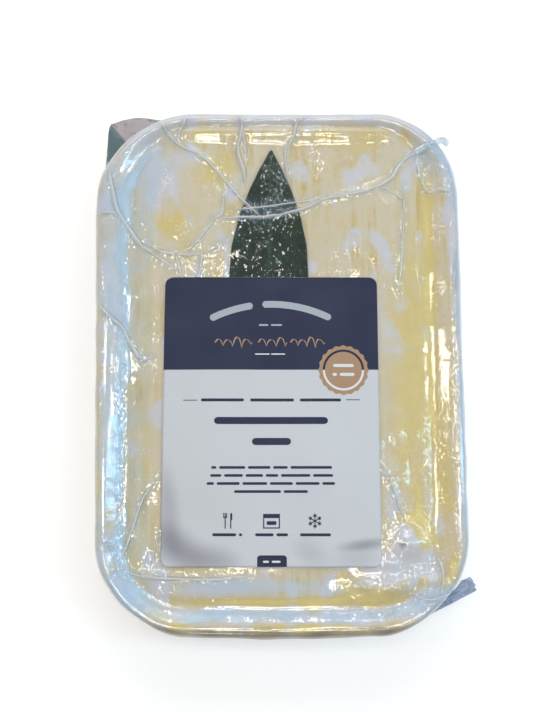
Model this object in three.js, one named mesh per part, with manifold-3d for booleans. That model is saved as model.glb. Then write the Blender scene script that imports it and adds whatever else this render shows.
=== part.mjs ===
// A family-size chicken pie, unbaked, in its pressed aluminium tray, sealed in clear shrink film, with a bay
// leaf on its pastry and a paper label on the film. Units are millimetres, +Z is up, the pie's long side runs
// along Y with its front at -Y, and the origin is the middle of the tray's base, on the table.
import * as THREE from "three";
import { ConvexGeometry } from "three/addons/geometries/ConvexGeometry.js";
import { mergeVertices } from "three/addons/utils/BufferGeometryUtils.js";
import Module from "manifold-3d";

const wasm = await Module();
wasm.setup();

// ---------------------------------------------------------------- driving dimensions

// Tray: a rounded rectangle whose walls lean out to a flat rim with a turned-down lip.
const RIM_HALF_X = 78;
const RIM_HALF_Y = 113;
const RIM_CORNER = 36;
const TRAY_HEIGHT = 29;
const TRAY_WALL = 0.8;
const RIM_WIDTH = 4;
const LIP_DROP = 2.5;
const WALL_LEAN = 6;
const BASE_ROUND = 2;

// Pastry: a lid over the filling, and a fat edge folded by hand over the tray's rim. How far the edge stands
// out past the rim differs from side to side. The left side widens towards the back, the front side bows, and
// the film draws some corners in and lets others out.
const OVERHANG = { right: 3.3, left: 6.1, back: 7.2, front: 4.7 };
const LEFT_WIDENS = 0.025;
const FRONT_BOW = 0.9;
const CORNER_EXTRA = { backRight: 0.6, backLeft: -1.4, frontLeft: -1.1, frontRight: -1.8 };
const EVEN_OVERHANG = 5;
const CREST_SHARE = 0.6;
const EDGE_THICKNESS = 0.7;
const SKIRT_DROP = 5;
const EDGE_HEIGHT = 7.8;
const LID_HEIGHT = 4.6;
const CROWN = 1.2;

// How far the edge's inner crease lies inside the rim: most at the right, and least at the back.
const CREASE_IN = 10;
const CREASE_EXTRA_RIGHT = 2;
const CREASE_LESS_BACK = 9;

// Leaf and label: thin sheets that follow the lid.
const LEAF = { tip: [-5, 102.3], length: 117, halfWidth: 18.2, turn: -0.018, thickness: 0.8 };
const LABEL = { centre: [-5, -23], halfX: 47.8, halfY: 64, corner: 4, thickness: 0.4, lift: 0.5 };

// Clear space between two pieces that rest on each other.
const GAP = 0.3;

// Steps round each corner, along each short side and along each long side.
const CORNER_STEPS = 10;
const SHORT_STEPS = 11;
const LONG_STEPS = 15;

// Soft rises and hollows of the lid, from the chunks of filling and the scraps of dough under the film.
const RISES = [
  { at: [54.5, -77], radii: [5, 5], turn: 0, height: 2.8 },
  { at: [43.5, -95.5], radii: [16, 4], turn: 0.08, height: 1.8 },
  { at: [42, -87], radii: [9, 8], turn: 0, height: 1.2 },
  { at: [-29, -94], radii: [12, 5], turn: 0.1, height: 1.1 },
  { at: [-44, -74], radii: [18, 14], turn: 0.5, height: -1.4 },
  { at: [18, -48], radii: [22, 14], turn: -0.3, height: 0.8 },
  { at: [-30, -8], radii: [20, 24], turn: 0.2, height: 0.7 },
  { at: [-42, 68], radii: [20, 22], turn: -0.4, height: 0.9 },
  { at: [42, 62], radii: [20, 26], turn: 0.3, height: 0.8 },
];

// ---------------------------------------------------------------- the outline that every ring follows

// Points round the tray's rim, anticlockwise, each with its outward direction.
function rimOutline() {
  const corners = [
    [RIM_HALF_X - RIM_CORNER, RIM_HALF_Y - RIM_CORNER],
    [RIM_CORNER - RIM_HALF_X, RIM_HALF_Y - RIM_CORNER],
    [RIM_CORNER - RIM_HALF_X, RIM_CORNER - RIM_HALF_Y],
    [RIM_HALF_X - RIM_CORNER, RIM_CORNER - RIM_HALF_Y],
  ];
  const points = [];
  corners.forEach(([cx, cy], k) => {
    for (let i = 0; i <= CORNER_STEPS; i++) {
      const angle = (Math.PI / 2) * (k + i / CORNER_STEPS);
      const out = new THREE.Vector2(Math.cos(angle), Math.sin(angle));
      points.push({ x: cx + RIM_CORNER * out.x, y: cy + RIM_CORNER * out.y, out });
    }
    const [nextX, nextY] = corners[(k + 1) % 4];
    const from = points[points.length - 1];
    const steps = k % 2 === 0 ? SHORT_STEPS : LONG_STEPS;
    for (let i = 1; i < steps; i++) {
      const share = i / steps;
      const x = from.x + (nextX - cx) * share;
      const y = from.y + (nextY - cy) * share;
      points.push({ x, y, out: from.out });
    }
  });
  return points;
}

const OUTLINE = rimOutline();

// One ring of points, outside the rim by offset and at a height; both may vary round the pie.
function ring(offset, height) {
  return OUTLINE.map((p) => {
    const out = typeof offset === "function" ? offset(p) : offset;
    const x = p.x + p.out.x * out;
    const y = p.y + p.out.y * out;
    const z = typeof height === "function" ? height(x, y, p) : height;
    return [x, y, z];
  });
}

// A closed skin from a first middle point, through rings that lie inside one another or one above another,
// to a last middle point. Rings run outwards along an underside, then up, then inwards along a top.
function skin(rings, firstHeight, lastHeight) {
  const count = rings[0].length;
  const positions = rings.flat(2);
  const first = positions.length / 3;
  positions.push(0, 0, firstHeight, 0, 0, lastHeight);
  const last = first + 1;
  const index = [];
  for (let i = 0; i < count; i++) {
    const j = (i + 1) % count;
    index.push(first, j, i);
    for (let k = 0; k + 1 < rings.length; k++) {
      const low = k * count;
      const high = low + count;
      index.push(low + i, low + j, high + j, low + i, high + j, high + i);
    }
    const top = (rings.length - 1) * count;
    index.push(top + i, top + j, last);
  }
  return geometryOf(new Float32Array(positions), new Uint32Array(index));
}

// ---------------------------------------------------------------- geometry to solid and back

function geometryOf(positions, index) {
  const geometry = new THREE.BufferGeometry();
  geometry.setAttribute("position", new THREE.BufferAttribute(positions, 3));
  geometry.setIndex(new THREE.BufferAttribute(index, 1));
  geometry.computeVertexNormals();
  return geometry;
}

function solidOf(geometry) {
  const bare = geometry.clone();
  bare.deleteAttribute("normal");
  bare.deleteAttribute("uv");
  const merged = mergeVertices(bare, 1e-4);
  const vertProperties = new Float32Array(merged.attributes.position.array);
  const triVerts = new Uint32Array(merged.index.array);
  return new wasm.Manifold(new wasm.Mesh({ numProp: 3, vertProperties, triVerts }));
}

function geometryFrom(solid) {
  const mesh = solid.getMesh();
  return geometryOf(mesh.vertProperties, mesh.triVerts);
}

// ---------------------------------------------------------------- the lid's surface

// Height of one soft rise at a point: a smooth hill that ends at twice its radii.
function riseAt(rise, x, y) {
  const dx = x - rise.at[0];
  const dy = y - rise.at[1];
  const along = (dx * Math.cos(rise.turn) + dy * Math.sin(rise.turn)) / rise.radii[0];
  const across = (dy * Math.cos(rise.turn) - dx * Math.sin(rise.turn)) / rise.radii[1];
  const away = Math.min(1, (along * along + across * across) / 4);
  return rise.height * (1 - away) ** 3;
}

function lidHeight(x, y) {
  const crown = CROWN * (1 - (x / RIM_HALF_X) ** 2) * (1 - (y / RIM_HALF_Y) ** 2);
  const rises = RISES.reduce((sum, rise) => sum + riseAt(rise, x, y), 0);
  return TRAY_HEIGHT + LID_HEIGHT + crown + rises;
}

// ---------------------------------------------------------------- tray

function trayGeometry() {
  const foot = -RIM_WIDTH - WALL_LEAN;
  const inside = foot - TRAY_WALL;
  const underRim = TRAY_HEIGHT - TRAY_WALL;
  return skin(
    [
      ring(foot - BASE_ROUND, 0),
      ring(foot - BASE_ROUND / 4, BASE_ROUND / 4),
      ring(foot, BASE_ROUND),
      ring(-RIM_WIDTH, underRim),
      ring(-TRAY_WALL, underRim),
      ring(-TRAY_WALL, TRAY_HEIGHT - LIP_DROP),
      ring(0, TRAY_HEIGHT - LIP_DROP),
      ring(0, TRAY_HEIGHT),
      ring(-RIM_WIDTH - TRAY_WALL, TRAY_HEIGHT),
      ring(inside, BASE_ROUND + TRAY_WALL / 2),
      ring(inside - BASE_ROUND / 4, TRAY_WALL + BASE_ROUND / 4),
      ring(inside - BASE_ROUND, TRAY_WALL),
    ],
    0,
    TRAY_WALL,
  );
}

// The room that the tray takes, with the clear gap round it: whatever the film holds stays out of it.
function trayRoom() {
  const foot = -RIM_WIDTH - WALL_LEAN + GAP;
  return solidOf(
    skin(
      [
        ring(foot, -1),
        ring(foot, BASE_ROUND),
        ring(GAP - RIM_WIDTH, TRAY_HEIGHT - LIP_DROP - GAP),
        ring(GAP, TRAY_HEIGHT - LIP_DROP - GAP),
        ring(GAP, TRAY_HEIGHT + GAP),
      ],
      -1,
      TRAY_HEIGHT + GAP,
    ),
  );
}

// ---------------------------------------------------------------- pie in its film

// How strongly a direction points at a corner, from 0 to 1.
function towards(out, x, y) {
  return Math.max(0, (out.x * x + out.y * y) / Math.SQRT2) ** 6;
}

// How far the pastry's edge stands out past a point of the rim.
function overhang({ x, y, out }) {
  const right = OVERHANG.right * Math.max(0, out.x) ** 2;
  const left = (OVERHANG.left + LEFT_WIDENS * y) * Math.max(0, -out.x) ** 2;
  const back = OVERHANG.back * Math.max(0, out.y) ** 2;
  const bow = FRONT_BOW * (x / (RIM_HALF_X - RIM_CORNER)) ** 2;
  const front = (OVERHANG.front - bow) * Math.max(0, -out.y) ** 2;
  const { backRight, backLeft, frontLeft, frontRight } = CORNER_EXTRA;
  const backCorners = backRight * towards(out, 1, 1) + backLeft * towards(out, -1, 1);
  const frontCorners = frontLeft * towards(out, -1, -1) + frontRight * towards(out, 1, -1);
  return right + left + back + front + backCorners + frontCorners;
}

// The edge's crest runs just outside an even rim, and follows the outer side in part.
function crestOffset(p) {
  return GAP + EDGE_THICKNESS + CREST_SHARE * (overhang(p) - EVEN_OVERHANG);
}

// Distance of the edge's inner crease outside the rim; it is negative, as the crease lies inside the rim.
function creaseOffset({ out }) {
  const sideways = CREASE_EXTRA_RIGHT * Math.max(0, out.x) ** 2;
  return CREASE_LESS_BACK * Math.max(0, out.y) ** 2 - CREASE_IN - sideways;
}

function pieGeometry() {
  const inside = -RIM_WIDTH - WALL_LEAN - TRAY_WALL - GAP;
  const floor = TRAY_WALL + GAP;
  const underEdge = TRAY_HEIGHT + GAP;
  const skirt = TRAY_HEIGHT - SKIRT_DROP;
  const top = TRAY_HEIGHT + EDGE_HEIGHT;
  const inner = GAP + EDGE_THICKNESS;
  const under = (share) => (p) => inner + (overhang(p) - inner) * share;
  const over = (share) => (p) => crestOffset(p) + (overhang(p) - crestOffset(p)) * share;
  const inward = (share) => (p) => crestOffset(p) + (creaseOffset(p) - crestOffset(p)) * share;
  const flatStart = (p) => creaseOffset(p) - 4;
  const rings = [
    ring(inside - BASE_ROUND, floor),
    ring(inside - BASE_ROUND / 4, floor + BASE_ROUND / 4),
    ring(inside, floor + BASE_ROUND),
    ring(-RIM_WIDTH - TRAY_WALL - GAP, underEdge),
    ring(GAP, underEdge),
    ring(GAP, skirt + 1.2),
    ring(under(0), skirt + 0.1),
    ring(under(0.45), skirt),
    ring(under(0.8), skirt + 1.6),
    ring(under(1), TRAY_HEIGHT - 0.6),
    ring(over(0.97), TRAY_HEIGHT + 2.4),
    ring(over(0.78), TRAY_HEIGHT + 5.2),
    ring(over(0.42), top - 0.8),
    ring(over(0), top),
    ring(inward(0.4), top - 0.5),
    ring(inward(0.75), (x, y) => (top + lidHeight(x, y)) / 2 - 0.9),
    ring(inward(1), (x, y) => lidHeight(x, y) - 0.9),
    ring(flatStart, lidHeight),
  ];
  const flat = rings[rings.length - 1];
  for (const scale of [0.9, 0.8, 0.7, 0.6, 0.5, 0.4, 0.28, 0.15]) {
    rings.push(flat.map(([x, y]) => [x * scale, y * scale, lidHeight(x * scale, y * scale)]));
  }
  return skin(rings, floor, lidHeight(0, 0));
}

// ---------------------------------------------------------------- corners of the film

// A tail of bunched film: flattened round sections along a bent line.
function filmTail(route, halfWidths, halfHeights) {
  const path = new THREE.CatmullRomCurve3(route.map((point) => new THREE.Vector3(...point)));
  const steps = halfWidths.length - 1;
  const sides = 10;
  const positions = [];
  const index = [];
  for (let k = 0; k <= steps; k++) {
    const centre = path.getPoint(k / steps);
    const along = path.getTangent(k / steps);
    const across = new THREE.Vector3(-along.y, along.x, 0).normalize();
    const up = new THREE.Vector3().crossVectors(along, across);
    for (let i = 0; i < sides; i++) {
      const angle = (2 * Math.PI * i) / sides;
      const point = centre.clone();
      point.addScaledVector(across, halfWidths[k] * Math.cos(angle));
      point.addScaledVector(up, halfHeights[k] * Math.sin(angle));
      positions.push(...point.toArray());
    }
  }
  for (const [k, turn] of [[0, 1], [steps, 0]]) {
    const centre = positions.length / 3;
    positions.push(...path.getPoint(k / steps).toArray());
    for (let i = 0; i < sides; i++) {
      const pair = [k * sides + i, k * sides + ((i + 1) % sides)];
      index.push(centre, pair[turn], pair[1 - turn]);
    }
  }
  for (let k = 0; k < steps; k++) {
    for (let i = 0; i < sides; i++) {
      const j = (i + 1) % sides;
      const low = k * sides;
      const high = low + sides;
      index.push(low + i, low + j, high + j, low + i, high + j, high + i);
    }
  }
  return solidOf(geometryOf(new Float32Array(positions), new Uint32Array(index)));
}

// The twisted corner of the film at the back right, which stands off the pastry's edge.
function backRightTail() {
  const route = [[60, 99, 31], [67, 103, 32.5], [73.5, 106.5, 33.5], [77, 104.5, 33.5]];
  return filmTail(route, [3.5, 2.6, 2.3, 2.2, 1.4], [2.5, 1.8, 1.5, 1.4, 0.9]);
}

// The long corner of the film at the front right, which comes out from under the pastry's edge.
function frontRightTail() {
  const route = [[60, -107, 26], [69, -102.5, 25.5], [77, -98, 25.5], [83.5, -94, 26.5]];
  return filmTail(route, [3, 4.8, 4.8, 3.6, 2.2], [1.4, 1.3, 1.1, 1, 0.8]);
}

// The web of film that bridges the back left corner, out to where its upper and lower layers meet.
function backLeftWeb() {
  const points = [];
  for (const [angleDeg, out] of [[97, 6], [115, 5.5], [135, 5.5], [155, 6.4], [173, 7]]) {
    const angle = THREE.MathUtils.degToRad(angleDeg);
    const reach = RIM_CORNER + out;
    const x = RIM_CORNER - RIM_HALF_X + reach * Math.cos(angle);
    const y = RIM_HALF_Y - RIM_CORNER + reach * Math.sin(angle);
    points.push(new THREE.Vector3(x, y, TRAY_HEIGHT + 3.5), new THREE.Vector3(x, y, TRAY_HEIGHT - 3));
  }
  for (const [x, y] of [[-82, 113.5], [-80.5, 116.5], [-76, 119]]) {
    points.push(new THREE.Vector3(x, y, TRAY_HEIGHT - 2.4), new THREE.Vector3(x, y, TRAY_HEIGHT - 3.6));
  }
  return solidOf(new ConvexGeometry(points));
}

// ---------------------------------------------------------------- sheets that follow the lid

// A thin sheet between two heights over the lid. Its rows run along Y from one end to the other, and each
// row reaches halfWidth to either side of its middle.
function lidSheet(rows, columns, under, over) {
  const positions = [];
  const index = [];
  const layer = rows.length * (columns + 1);
  for (const lift of [under, over]) {
    for (const { x, y, halfWidth } of rows) {
      for (let c = 0; c <= columns; c++) {
        const px = x + halfWidth * ((2 * c) / columns - 1);
        positions.push(px, y, lidHeight(px, y) + lift);
      }
    }
  }
  const cell = (a, b, c, d) => index.push(a, b, c, a, c, d);
  const at = (r, c) => r * (columns + 1) + c;
  for (let r = 0; r + 1 < rows.length; r++) {
    for (let c = 0; c < columns; c++) {
      const quad = [at(r, c), at(r, c + 1), at(r + 1, c + 1), at(r + 1, c)];
      cell(...quad.map((v) => v + layer));
      cell(...quad.toReversed());
    }
    cell(at(r + 1, 0), at(r, 0), at(r, 0) + layer, at(r + 1, 0) + layer);
    cell(at(r, columns), at(r + 1, columns), at(r + 1, columns) + layer, at(r, columns) + layer);
  }
  const end = rows.length - 1;
  for (let c = 0; c < columns; c++) {
    cell(at(0, c), at(0, c + 1), at(0, c + 1) + layer, at(0, c) + layer);
    cell(at(end, c + 1), at(end, c), at(end, c) + layer, at(end, c + 1) + layer);
  }
  return geometryOf(new Float32Array(positions), new Uint32Array(index));
}

// Rows of a bay leaf from its hidden foot to its tip; grow widens it for the pocket that it lies in.
function leafRows(grow) {
  const rows = [];
  const steps = 16;
  const narrowest = 0.5;
  for (let i = 0; i <= steps; i++) {
    const fromTip = 1 - i / steps;
    const swell = Math.sin(Math.PI * fromTip ** 0.88) ** 0.9;
    const away = fromTip * (LEAF.length + 2 * grow) - grow;
    rows.push({
      x: LEAF.tip[0] + away * LEAF.turn,
      y: LEAF.tip[1] - away,
      halfWidth: Math.max(narrowest, LEAF.halfWidth * swell) + grow,
    });
  }
  return rows;
}

// Rows of the label, a rectangle with round corners.
function labelRows() {
  const { centre, halfX, halfY, corner } = LABEL;
  const arc = [0, 0.35, 0.7, 1].map((share) => {
    const angle = (share * Math.PI) / 2;
    return { fromEnd: corner * (1 - Math.cos(angle)), inset: corner * (1 - Math.sin(angle)) };
  });
  const straight = 15;
  const rows = arc.map(({ fromEnd, inset }) => ({ y: -halfY + fromEnd, halfWidth: halfX - inset }));
  for (let i = 1; i < straight; i++) {
    rows.push({ y: (halfY - corner) * ((2 * i) / straight - 1), halfWidth: halfX });
  }
  arc.toReversed().forEach(({ fromEnd, inset }) => {
    rows.push({ y: halfY - fromEnd, halfWidth: halfX - inset });
  });
  return rows.map(({ y, halfWidth }) => ({ x: centre[0], y: centre[1] + y, halfWidth }));
}

// ---------------------------------------------------------------- the pieces

const LEAF_COLUMNS = 5;
const LABEL_COLUMNS = 12;

function wrappedPieGeometry() {
  const pocketRows = leafRows(GAP);
  const pocket = solidOf(lidSheet(pocketRows, LEAF_COLUMNS, -LEAF.thickness - GAP, 3));
  const room = trayRoom();
  const filmCorners = [backLeftWeb(), backRightTail(), frontRightTail()];
  let solid = solidOf(pieGeometry());
  for (const corner of filmCorners) {
    solid = solid.add(corner.subtract(room));
  }
  return geometryFrom(solid.subtract(pocket));
}

function piece(name, geometry, material) {
  const mesh = new THREE.Mesh(geometry, new THREE.MeshStandardMaterial(material));
  mesh.name = name;
  return mesh;
}

const pie = new THREE.Group();
pie.add(
  piece("tray", trayGeometry(), { color: "#b9bcc0", roughness: 0.35, metalness: 1 }),
  piece("wrapped_pie", wrappedPieGeometry(), { color: "#d3c9aa", roughness: 0.25, metalness: 0 }),
  piece("leaf", lidSheet(leafRows(0), LEAF_COLUMNS, -LEAF.thickness, 0), {
    color: "#2f3f33",
    roughness: 0.4,
    metalness: 0,
  }),
  piece("label", lidSheet(labelRows(), LABEL_COLUMNS, LABEL.lift, LABEL.lift + LABEL.thickness), {
    color: "#d0d3da",
    roughness: 0.5,
    metalness: 0,
  }),
);

export default pie;
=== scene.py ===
"""Looks of a family-size chicken pie, unbaked, in its foil tray and sealed in clear shrink film.

Everything is worked out in millimetres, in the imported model's frame: the origin is the middle of the tray's
base, +X is to the right and +Y to the back. Meshes are turned to metres when they are made.
"""

import math

import bpy
import numpy as np
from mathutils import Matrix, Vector, noise


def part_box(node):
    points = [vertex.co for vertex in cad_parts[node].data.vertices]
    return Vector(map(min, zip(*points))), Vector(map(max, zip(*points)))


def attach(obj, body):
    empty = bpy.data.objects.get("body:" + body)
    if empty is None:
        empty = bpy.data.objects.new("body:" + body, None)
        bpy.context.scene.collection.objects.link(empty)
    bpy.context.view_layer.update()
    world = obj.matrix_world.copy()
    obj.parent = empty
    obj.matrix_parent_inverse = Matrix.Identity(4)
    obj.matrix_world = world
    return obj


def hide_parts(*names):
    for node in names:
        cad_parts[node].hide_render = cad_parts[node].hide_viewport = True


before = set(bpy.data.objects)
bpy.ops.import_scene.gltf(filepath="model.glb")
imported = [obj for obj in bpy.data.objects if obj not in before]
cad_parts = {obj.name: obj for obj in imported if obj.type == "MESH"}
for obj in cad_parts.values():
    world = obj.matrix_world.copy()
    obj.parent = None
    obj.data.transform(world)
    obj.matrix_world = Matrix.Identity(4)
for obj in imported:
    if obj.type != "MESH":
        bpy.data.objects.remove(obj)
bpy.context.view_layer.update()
MM = 0.001

# ------------------------------------------------------------------ sizes

RIM_X, RIM_Y, RIM_Z = (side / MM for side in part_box("tray")[1])
RIM_CORNER = 36.0
TRAY_LEAN = 6.0
TRAY_FLANGE = 4.0
# Gaps between the pie and its tray, and the round between the filling's side and its base.
RIM_GAP = 0.35
WALL_GAP = 1.1
BASE_GAP = 1.2
BASE_ROUND = 2.0

# The pastry's edge, folded by hand. How far it stands out past the rim differs from side to side: the left
# side widens towards the back, the front side bows, and the film draws some corners in and lets others out.
OVERHANG_RIGHT, OVERHANG_LEFT, OVERHANG_BACK, OVERHANG_FRONT = 3.3, 6.1, 7.2, 4.7
LEFT_WIDENS = 0.025
FRONT_BOW = 0.9
CORNER_EXTRA = (((1, 1), 0.6), ((-1, 1), -1.4), ((-1, -1), -1.1), ((1, -1), -1.8))
EVEN_OVERHANG = 5.0
# Its crest runs round just outside an even rim, and follows the outer side in part.
CREST_OUT = 1.0
CREST_SHARE = 0.6
SHIFT_REACH = 14.0
CREST_HEIGHT = RIM_Z + 7.8
EDGE_WIDEST = RIM_Z + 0.6
SKIRT_HEIGHT = RIM_Z - 5.0
CREST_X, CREST_Y = RIM_X + CREST_OUT, RIM_Y + CREST_OUT
CREST_CORNER = RIM_CORNER + CREST_OUT

# The lid inside it, from the crease to the middle.
LID_HEIGHT = RIM_Z + 4.6
CROWN = 1.2
CREASE_IN = 11.0
CREASE_EXTRA_RIGHT = 2.0
CREASE_LESS_BACK = 9.0
CREASE_DEPTH = 0.9
CREASE_RISE = 4.0

# Soft rises and hollows of the lid: middle, radii, turn and height.
RISES = [
    ((54.5, -77.0), (5.0, 5.0), 0.0, 2.8),
    ((43.5, -95.5), (16.0, 4.0), 0.08, 1.8),
    ((42.0, -87.0), (9.0, 8.0), 0.0, 1.2),
    ((-29.0, -94.0), (12.0, 5.0), 0.1, 1.1),
    ((-44.0, -74.0), (18.0, 14.0), 0.5, -1.4),
    ((18.0, -48.0), (22.0, 14.0), -0.3, 0.8),
    ((-30.0, -8.0), (20.0, 24.0), 0.2, 0.7),
    ((-42.0, 68.0), (20.0, 22.0), -0.4, 0.9),
    ((42.0, 62.0), (20.0, 26.0), 0.3, 0.8),
    ((0.0, 111.0), (62.0, 4.0), 0.0, 1.9),
]

LEAF_TIP = (-5.0, 102.3)
LEAF_LENGTH = 117.0
LEAF_HALF_WIDTH = 17.5
LEAF_TURN = -0.018
LEAF_THICKNESS = 0.35

LABEL_MIDDLE = (-5.0, -23.0)
LABEL_X, LABEL_Y, LABEL_CORNER = 47.8, 64.0, 3.7
LABEL_THICKNESS = 0.25

# Heights over the lid of the sheets that lie on it.
LEAF_LIFT = -0.35
FILM_LIFT = 0.3
LABEL_LIFT = 0.7
PRINT_LIFT = 0.05

# The largest share of light that shrunk film mirrors, at a grazing angle.
GRAZING_MIRROR = 0.24

# ------------------------------------------------------------------ small helpers


def linear(hex_colour):
    """A colour given in sRGB hex, as the linear RGBA that shaders take."""
    parts = [int(hex_colour[i : i + 2], 16) / 255 for i in (1, 3, 5)]
    return (*(c / 12.92 if c <= 0.04045 else ((c + 0.055) / 1.055) ** 2.4 for c in parts), 1.0)


def grain(x, y, size, seed, z=0.0):
    """Smooth noise between about -1 and 1 at each point, with lumps of that size."""
    shift = 31.7 * seed
    spots = np.stack(np.broadcast_arrays(x / size + shift, y / size - shift, z / size + 0.5 * seed), -1)
    values = [noise.noise(spot) for spot in spots.reshape(-1, 3).tolist()]
    return 1.6 * np.array(values).reshape(spots.shape[:-1])


def smooth(low, high, value):
    """0 up to low, 1 from high on, and an even S between them."""
    share = np.clip((value - low) / (high - low), 0, 1)
    return share * share * (3 - 2 * share)


def hill(x, y, middle, radii, turn):
    """1 in the middle of a turned ellipse, falling to 0 at twice its radii."""
    dx, dy = x - middle[0], y - middle[1]
    along = (dx * math.cos(turn) + dy * math.sin(turn)) / radii[0]
    across = (dy * math.cos(turn) - dx * math.sin(turn)) / radii[1]
    return np.clip(1 - (along**2 + across**2) / 4, 0, 1) ** 3


def route_distance(x, y, route):
    """Distance from each point to a bent line, and how far along the line that is, from 0 to 1."""
    best = np.full(np.shape(x), 1e9)
    share = np.zeros(np.shape(x))
    for k, ((ax, ay), (bx, by)) in enumerate(zip(route, route[1:])):
        dx, dy = bx - ax, by - ay
        t = np.clip(((x - ax) * dx + (y - ay) * dy) / (dx * dx + dy * dy), 0, 1)
        away = np.hypot(x - ax - t * dx, y - ay - t * dy)
        share = np.where(away < best, (k + t) / (len(route) - 1), share)
        best = np.minimum(best, away)
    return best, share


def curve_through(points, step):
    """A smooth line through points of any number of sizes, with a point about every step."""
    points = np.array(points, float)
    ends = np.vstack([2 * points[0] - points[1], points, 2 * points[-1] - points[-2]])
    line = []
    for p0, p1, p2, p3 in zip(ends, ends[1:], ends[2:], ends[3:]):
        count = max(2, round(np.linalg.norm(p2 - p1) / step))
        for t in np.arange(count) / count:
            bend = 2 * p0 - 5 * p1 + 4 * p2 - p3
            sway = 3 * p1 - p0 - 3 * p2 + p3
            line.append(0.5 * (2 * p1 + (p2 - p0) * t + bend * t * t + sway * t**3))
    return np.array([*line, points[-1]])


# ------------------------------------------------------------------ the pie's form


def outline_at(along, half_x, half_y, corner):
    """Points on a rounded rectangle and the outward direction there. Along counts its sides, from 0 to 4:
    each runs anticlockwise from the middle of a corner to the middle of the next, the right one first."""
    side = np.floor(along).astype(int) % 4
    upright = side % 2 == 0
    reach = np.where(upright, half_x, half_y)
    straight = np.where(upright, half_y, half_x) - corner
    half = straight + corner * math.pi / 4
    place = (along - np.floor(along)) * 2 * half - half
    turn = np.sign(place) * np.clip(np.abs(place) - straight, 0, None) / corner
    x = reach - corner + corner * np.cos(turn)
    y = np.clip(place, -straight, straight) + corner * np.sin(turn)
    angle = side * math.pi / 2
    cos, sin = np.cos(angle), np.sin(angle)
    out = np.cos(turn) * cos - np.sin(turn) * sin, np.cos(turn) * sin + np.sin(turn) * cos
    return x * cos - y * sin, x * sin + y * cos, *out


def edge_shift(x, y, out_x, out_y):
    """How much further the edge stands out past the rim than an even one would, at a point of one side."""

    def towards(to_x, to_y):
        return np.clip((out_x * to_x + out_y * to_y) / math.hypot(to_x, to_y), 0, None)

    right = OVERHANG_RIGHT * towards(1, 0) ** 2
    left = (OVERHANG_LEFT + LEFT_WIDENS * y) * towards(-1, 0) ** 2
    back = OVERHANG_BACK * towards(0, 1) ** 2
    bow = FRONT_BOW * (x / (RIM_X - RIM_CORNER)) ** 2
    front = (OVERHANG_FRONT - bow) * towards(0, -1) ** 2
    corners = sum(extra * towards(*corner) ** 6 for corner, extra in CORNER_EXTRA)
    return right + left + back + front + corners - EVEN_OVERHANG


def inwards_even(x, y):
    """Distance inwards from an even crest line, and the direction to the nearest side."""
    past_x, past_y = np.abs(x) - (CREST_X - CREST_CORNER), np.abs(y) - (CREST_Y - CREST_CORNER)
    round_x, round_y = np.clip(past_x, 0, None), np.clip(past_y, 0, None)
    length = np.hypot(round_x, round_y)
    distance = CREST_CORNER - length - np.clip(np.maximum(past_x, past_y), None, 0)
    safe = np.where(length > 0, length, 1)
    return distance, np.sign(x) * round_x / safe, np.sign(y) * round_y / safe


def crest_shift(x, y, distance, out_x, out_y):
    """How far the uneven edge moves a point outwards, by its distance inside the crest line."""
    return CREST_SHARE * edge_shift(x, y, out_x, out_y) * (1 - smooth(0, SHIFT_REACH, distance))


def inwards(x, y):
    """Distance from the edge's crest line to each point, inwards, and the direction to the nearest side."""
    distance, out_x, out_y = inwards_even(x, y)
    return distance + crest_shift(x, y, distance, out_x, out_y), out_x, out_y


def lid_height(x, y):
    crown = CROWN * (1 - (x / RIM_X) ** 2) * (1 - (y / RIM_Y) ** 2)
    rises = sum(height * hill(x, y, middle, radii, turn) for middle, radii, turn, height in RISES)
    return LID_HEIGHT + crown + rises


def crease_in(out_x, out_y):
    right = CREASE_EXTRA_RIGHT * np.clip(out_x, 0, None) ** 2
    back = CREASE_LESS_BACK * np.clip(out_y, 0, None) ** 2
    return CREASE_IN + right - back


def top_height(x, y, bridge=0.0):
    """Height of the pastry inside its edge's crest line. Bridge, from 0 to 1, fills in the crease, as the
    film does."""
    distance, out_x, out_y = inwards(x, y)
    crease = crease_in(out_x, out_y)
    lid = lid_height(x, y)
    low = lid - CREASE_DEPTH * (1 - bridge)
    edge = CREST_HEIGHT + (low - CREST_HEIGHT) * smooth(0, 1, distance / crease)
    inner = low + (lid - low) * smooth(0, CREASE_RISE, distance - crease)
    return np.where(distance < crease, edge, inner)


def edge_section(angle, edge):
    """The pastry edge's outer side, from its crest at angle 0 to its underside at pi: its offset from the
    even crest line, and its height."""
    shift = edge_shift(*edge)
    moved = CREST_SHARE * shift * (1 + math.cos(angle)) / 2
    reach = EVEN_OVERHANG - CREST_OUT + (1 - CREST_SHARE / 2) * shift
    height = CREST_HEIGHT - EDGE_WIDEST if angle < math.pi / 2 else EDGE_WIDEST - SKIRT_HEIGHT
    return moved + reach * math.sin(angle) ** 0.85, EDGE_WIDEST + height * math.cos(angle)


def edge_lumps(x, y, angle):
    """How far the outer side of the hand-folded edge swells, at a point of the crest line."""
    return 0.35 * grain(x, y, 14.0, 5, z=9 * angle) * math.sin(angle)


# Scraps of dough that stand up as small ridges: route, width and height.
DOUGH_RIDGES = [
    ([(30.5, -90.0), (35.5, -95.0), (42.0, -97.0), (50.0, -95.5), (56.5, -91.0)], 2.4, 0.9),
    ([(57.0, -89.0), (62.0, -93.0), (67.5, -92.0), (70.0, -96.0)], 2.0, 1.1),
    ([(58.5, -97.5), (64.5, -98.5), (69.0, -94.5)], 1.8, 0.8),
    ([(38.5, -81.5), (44.5, -85.0), (51.0, -86.0)], 1.8, 0.6),
]
# The hole in the dough knob: a hollow, which is also painted dark as painted shade.
KNOB_HOLE = (51.5, -77.5)


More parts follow.
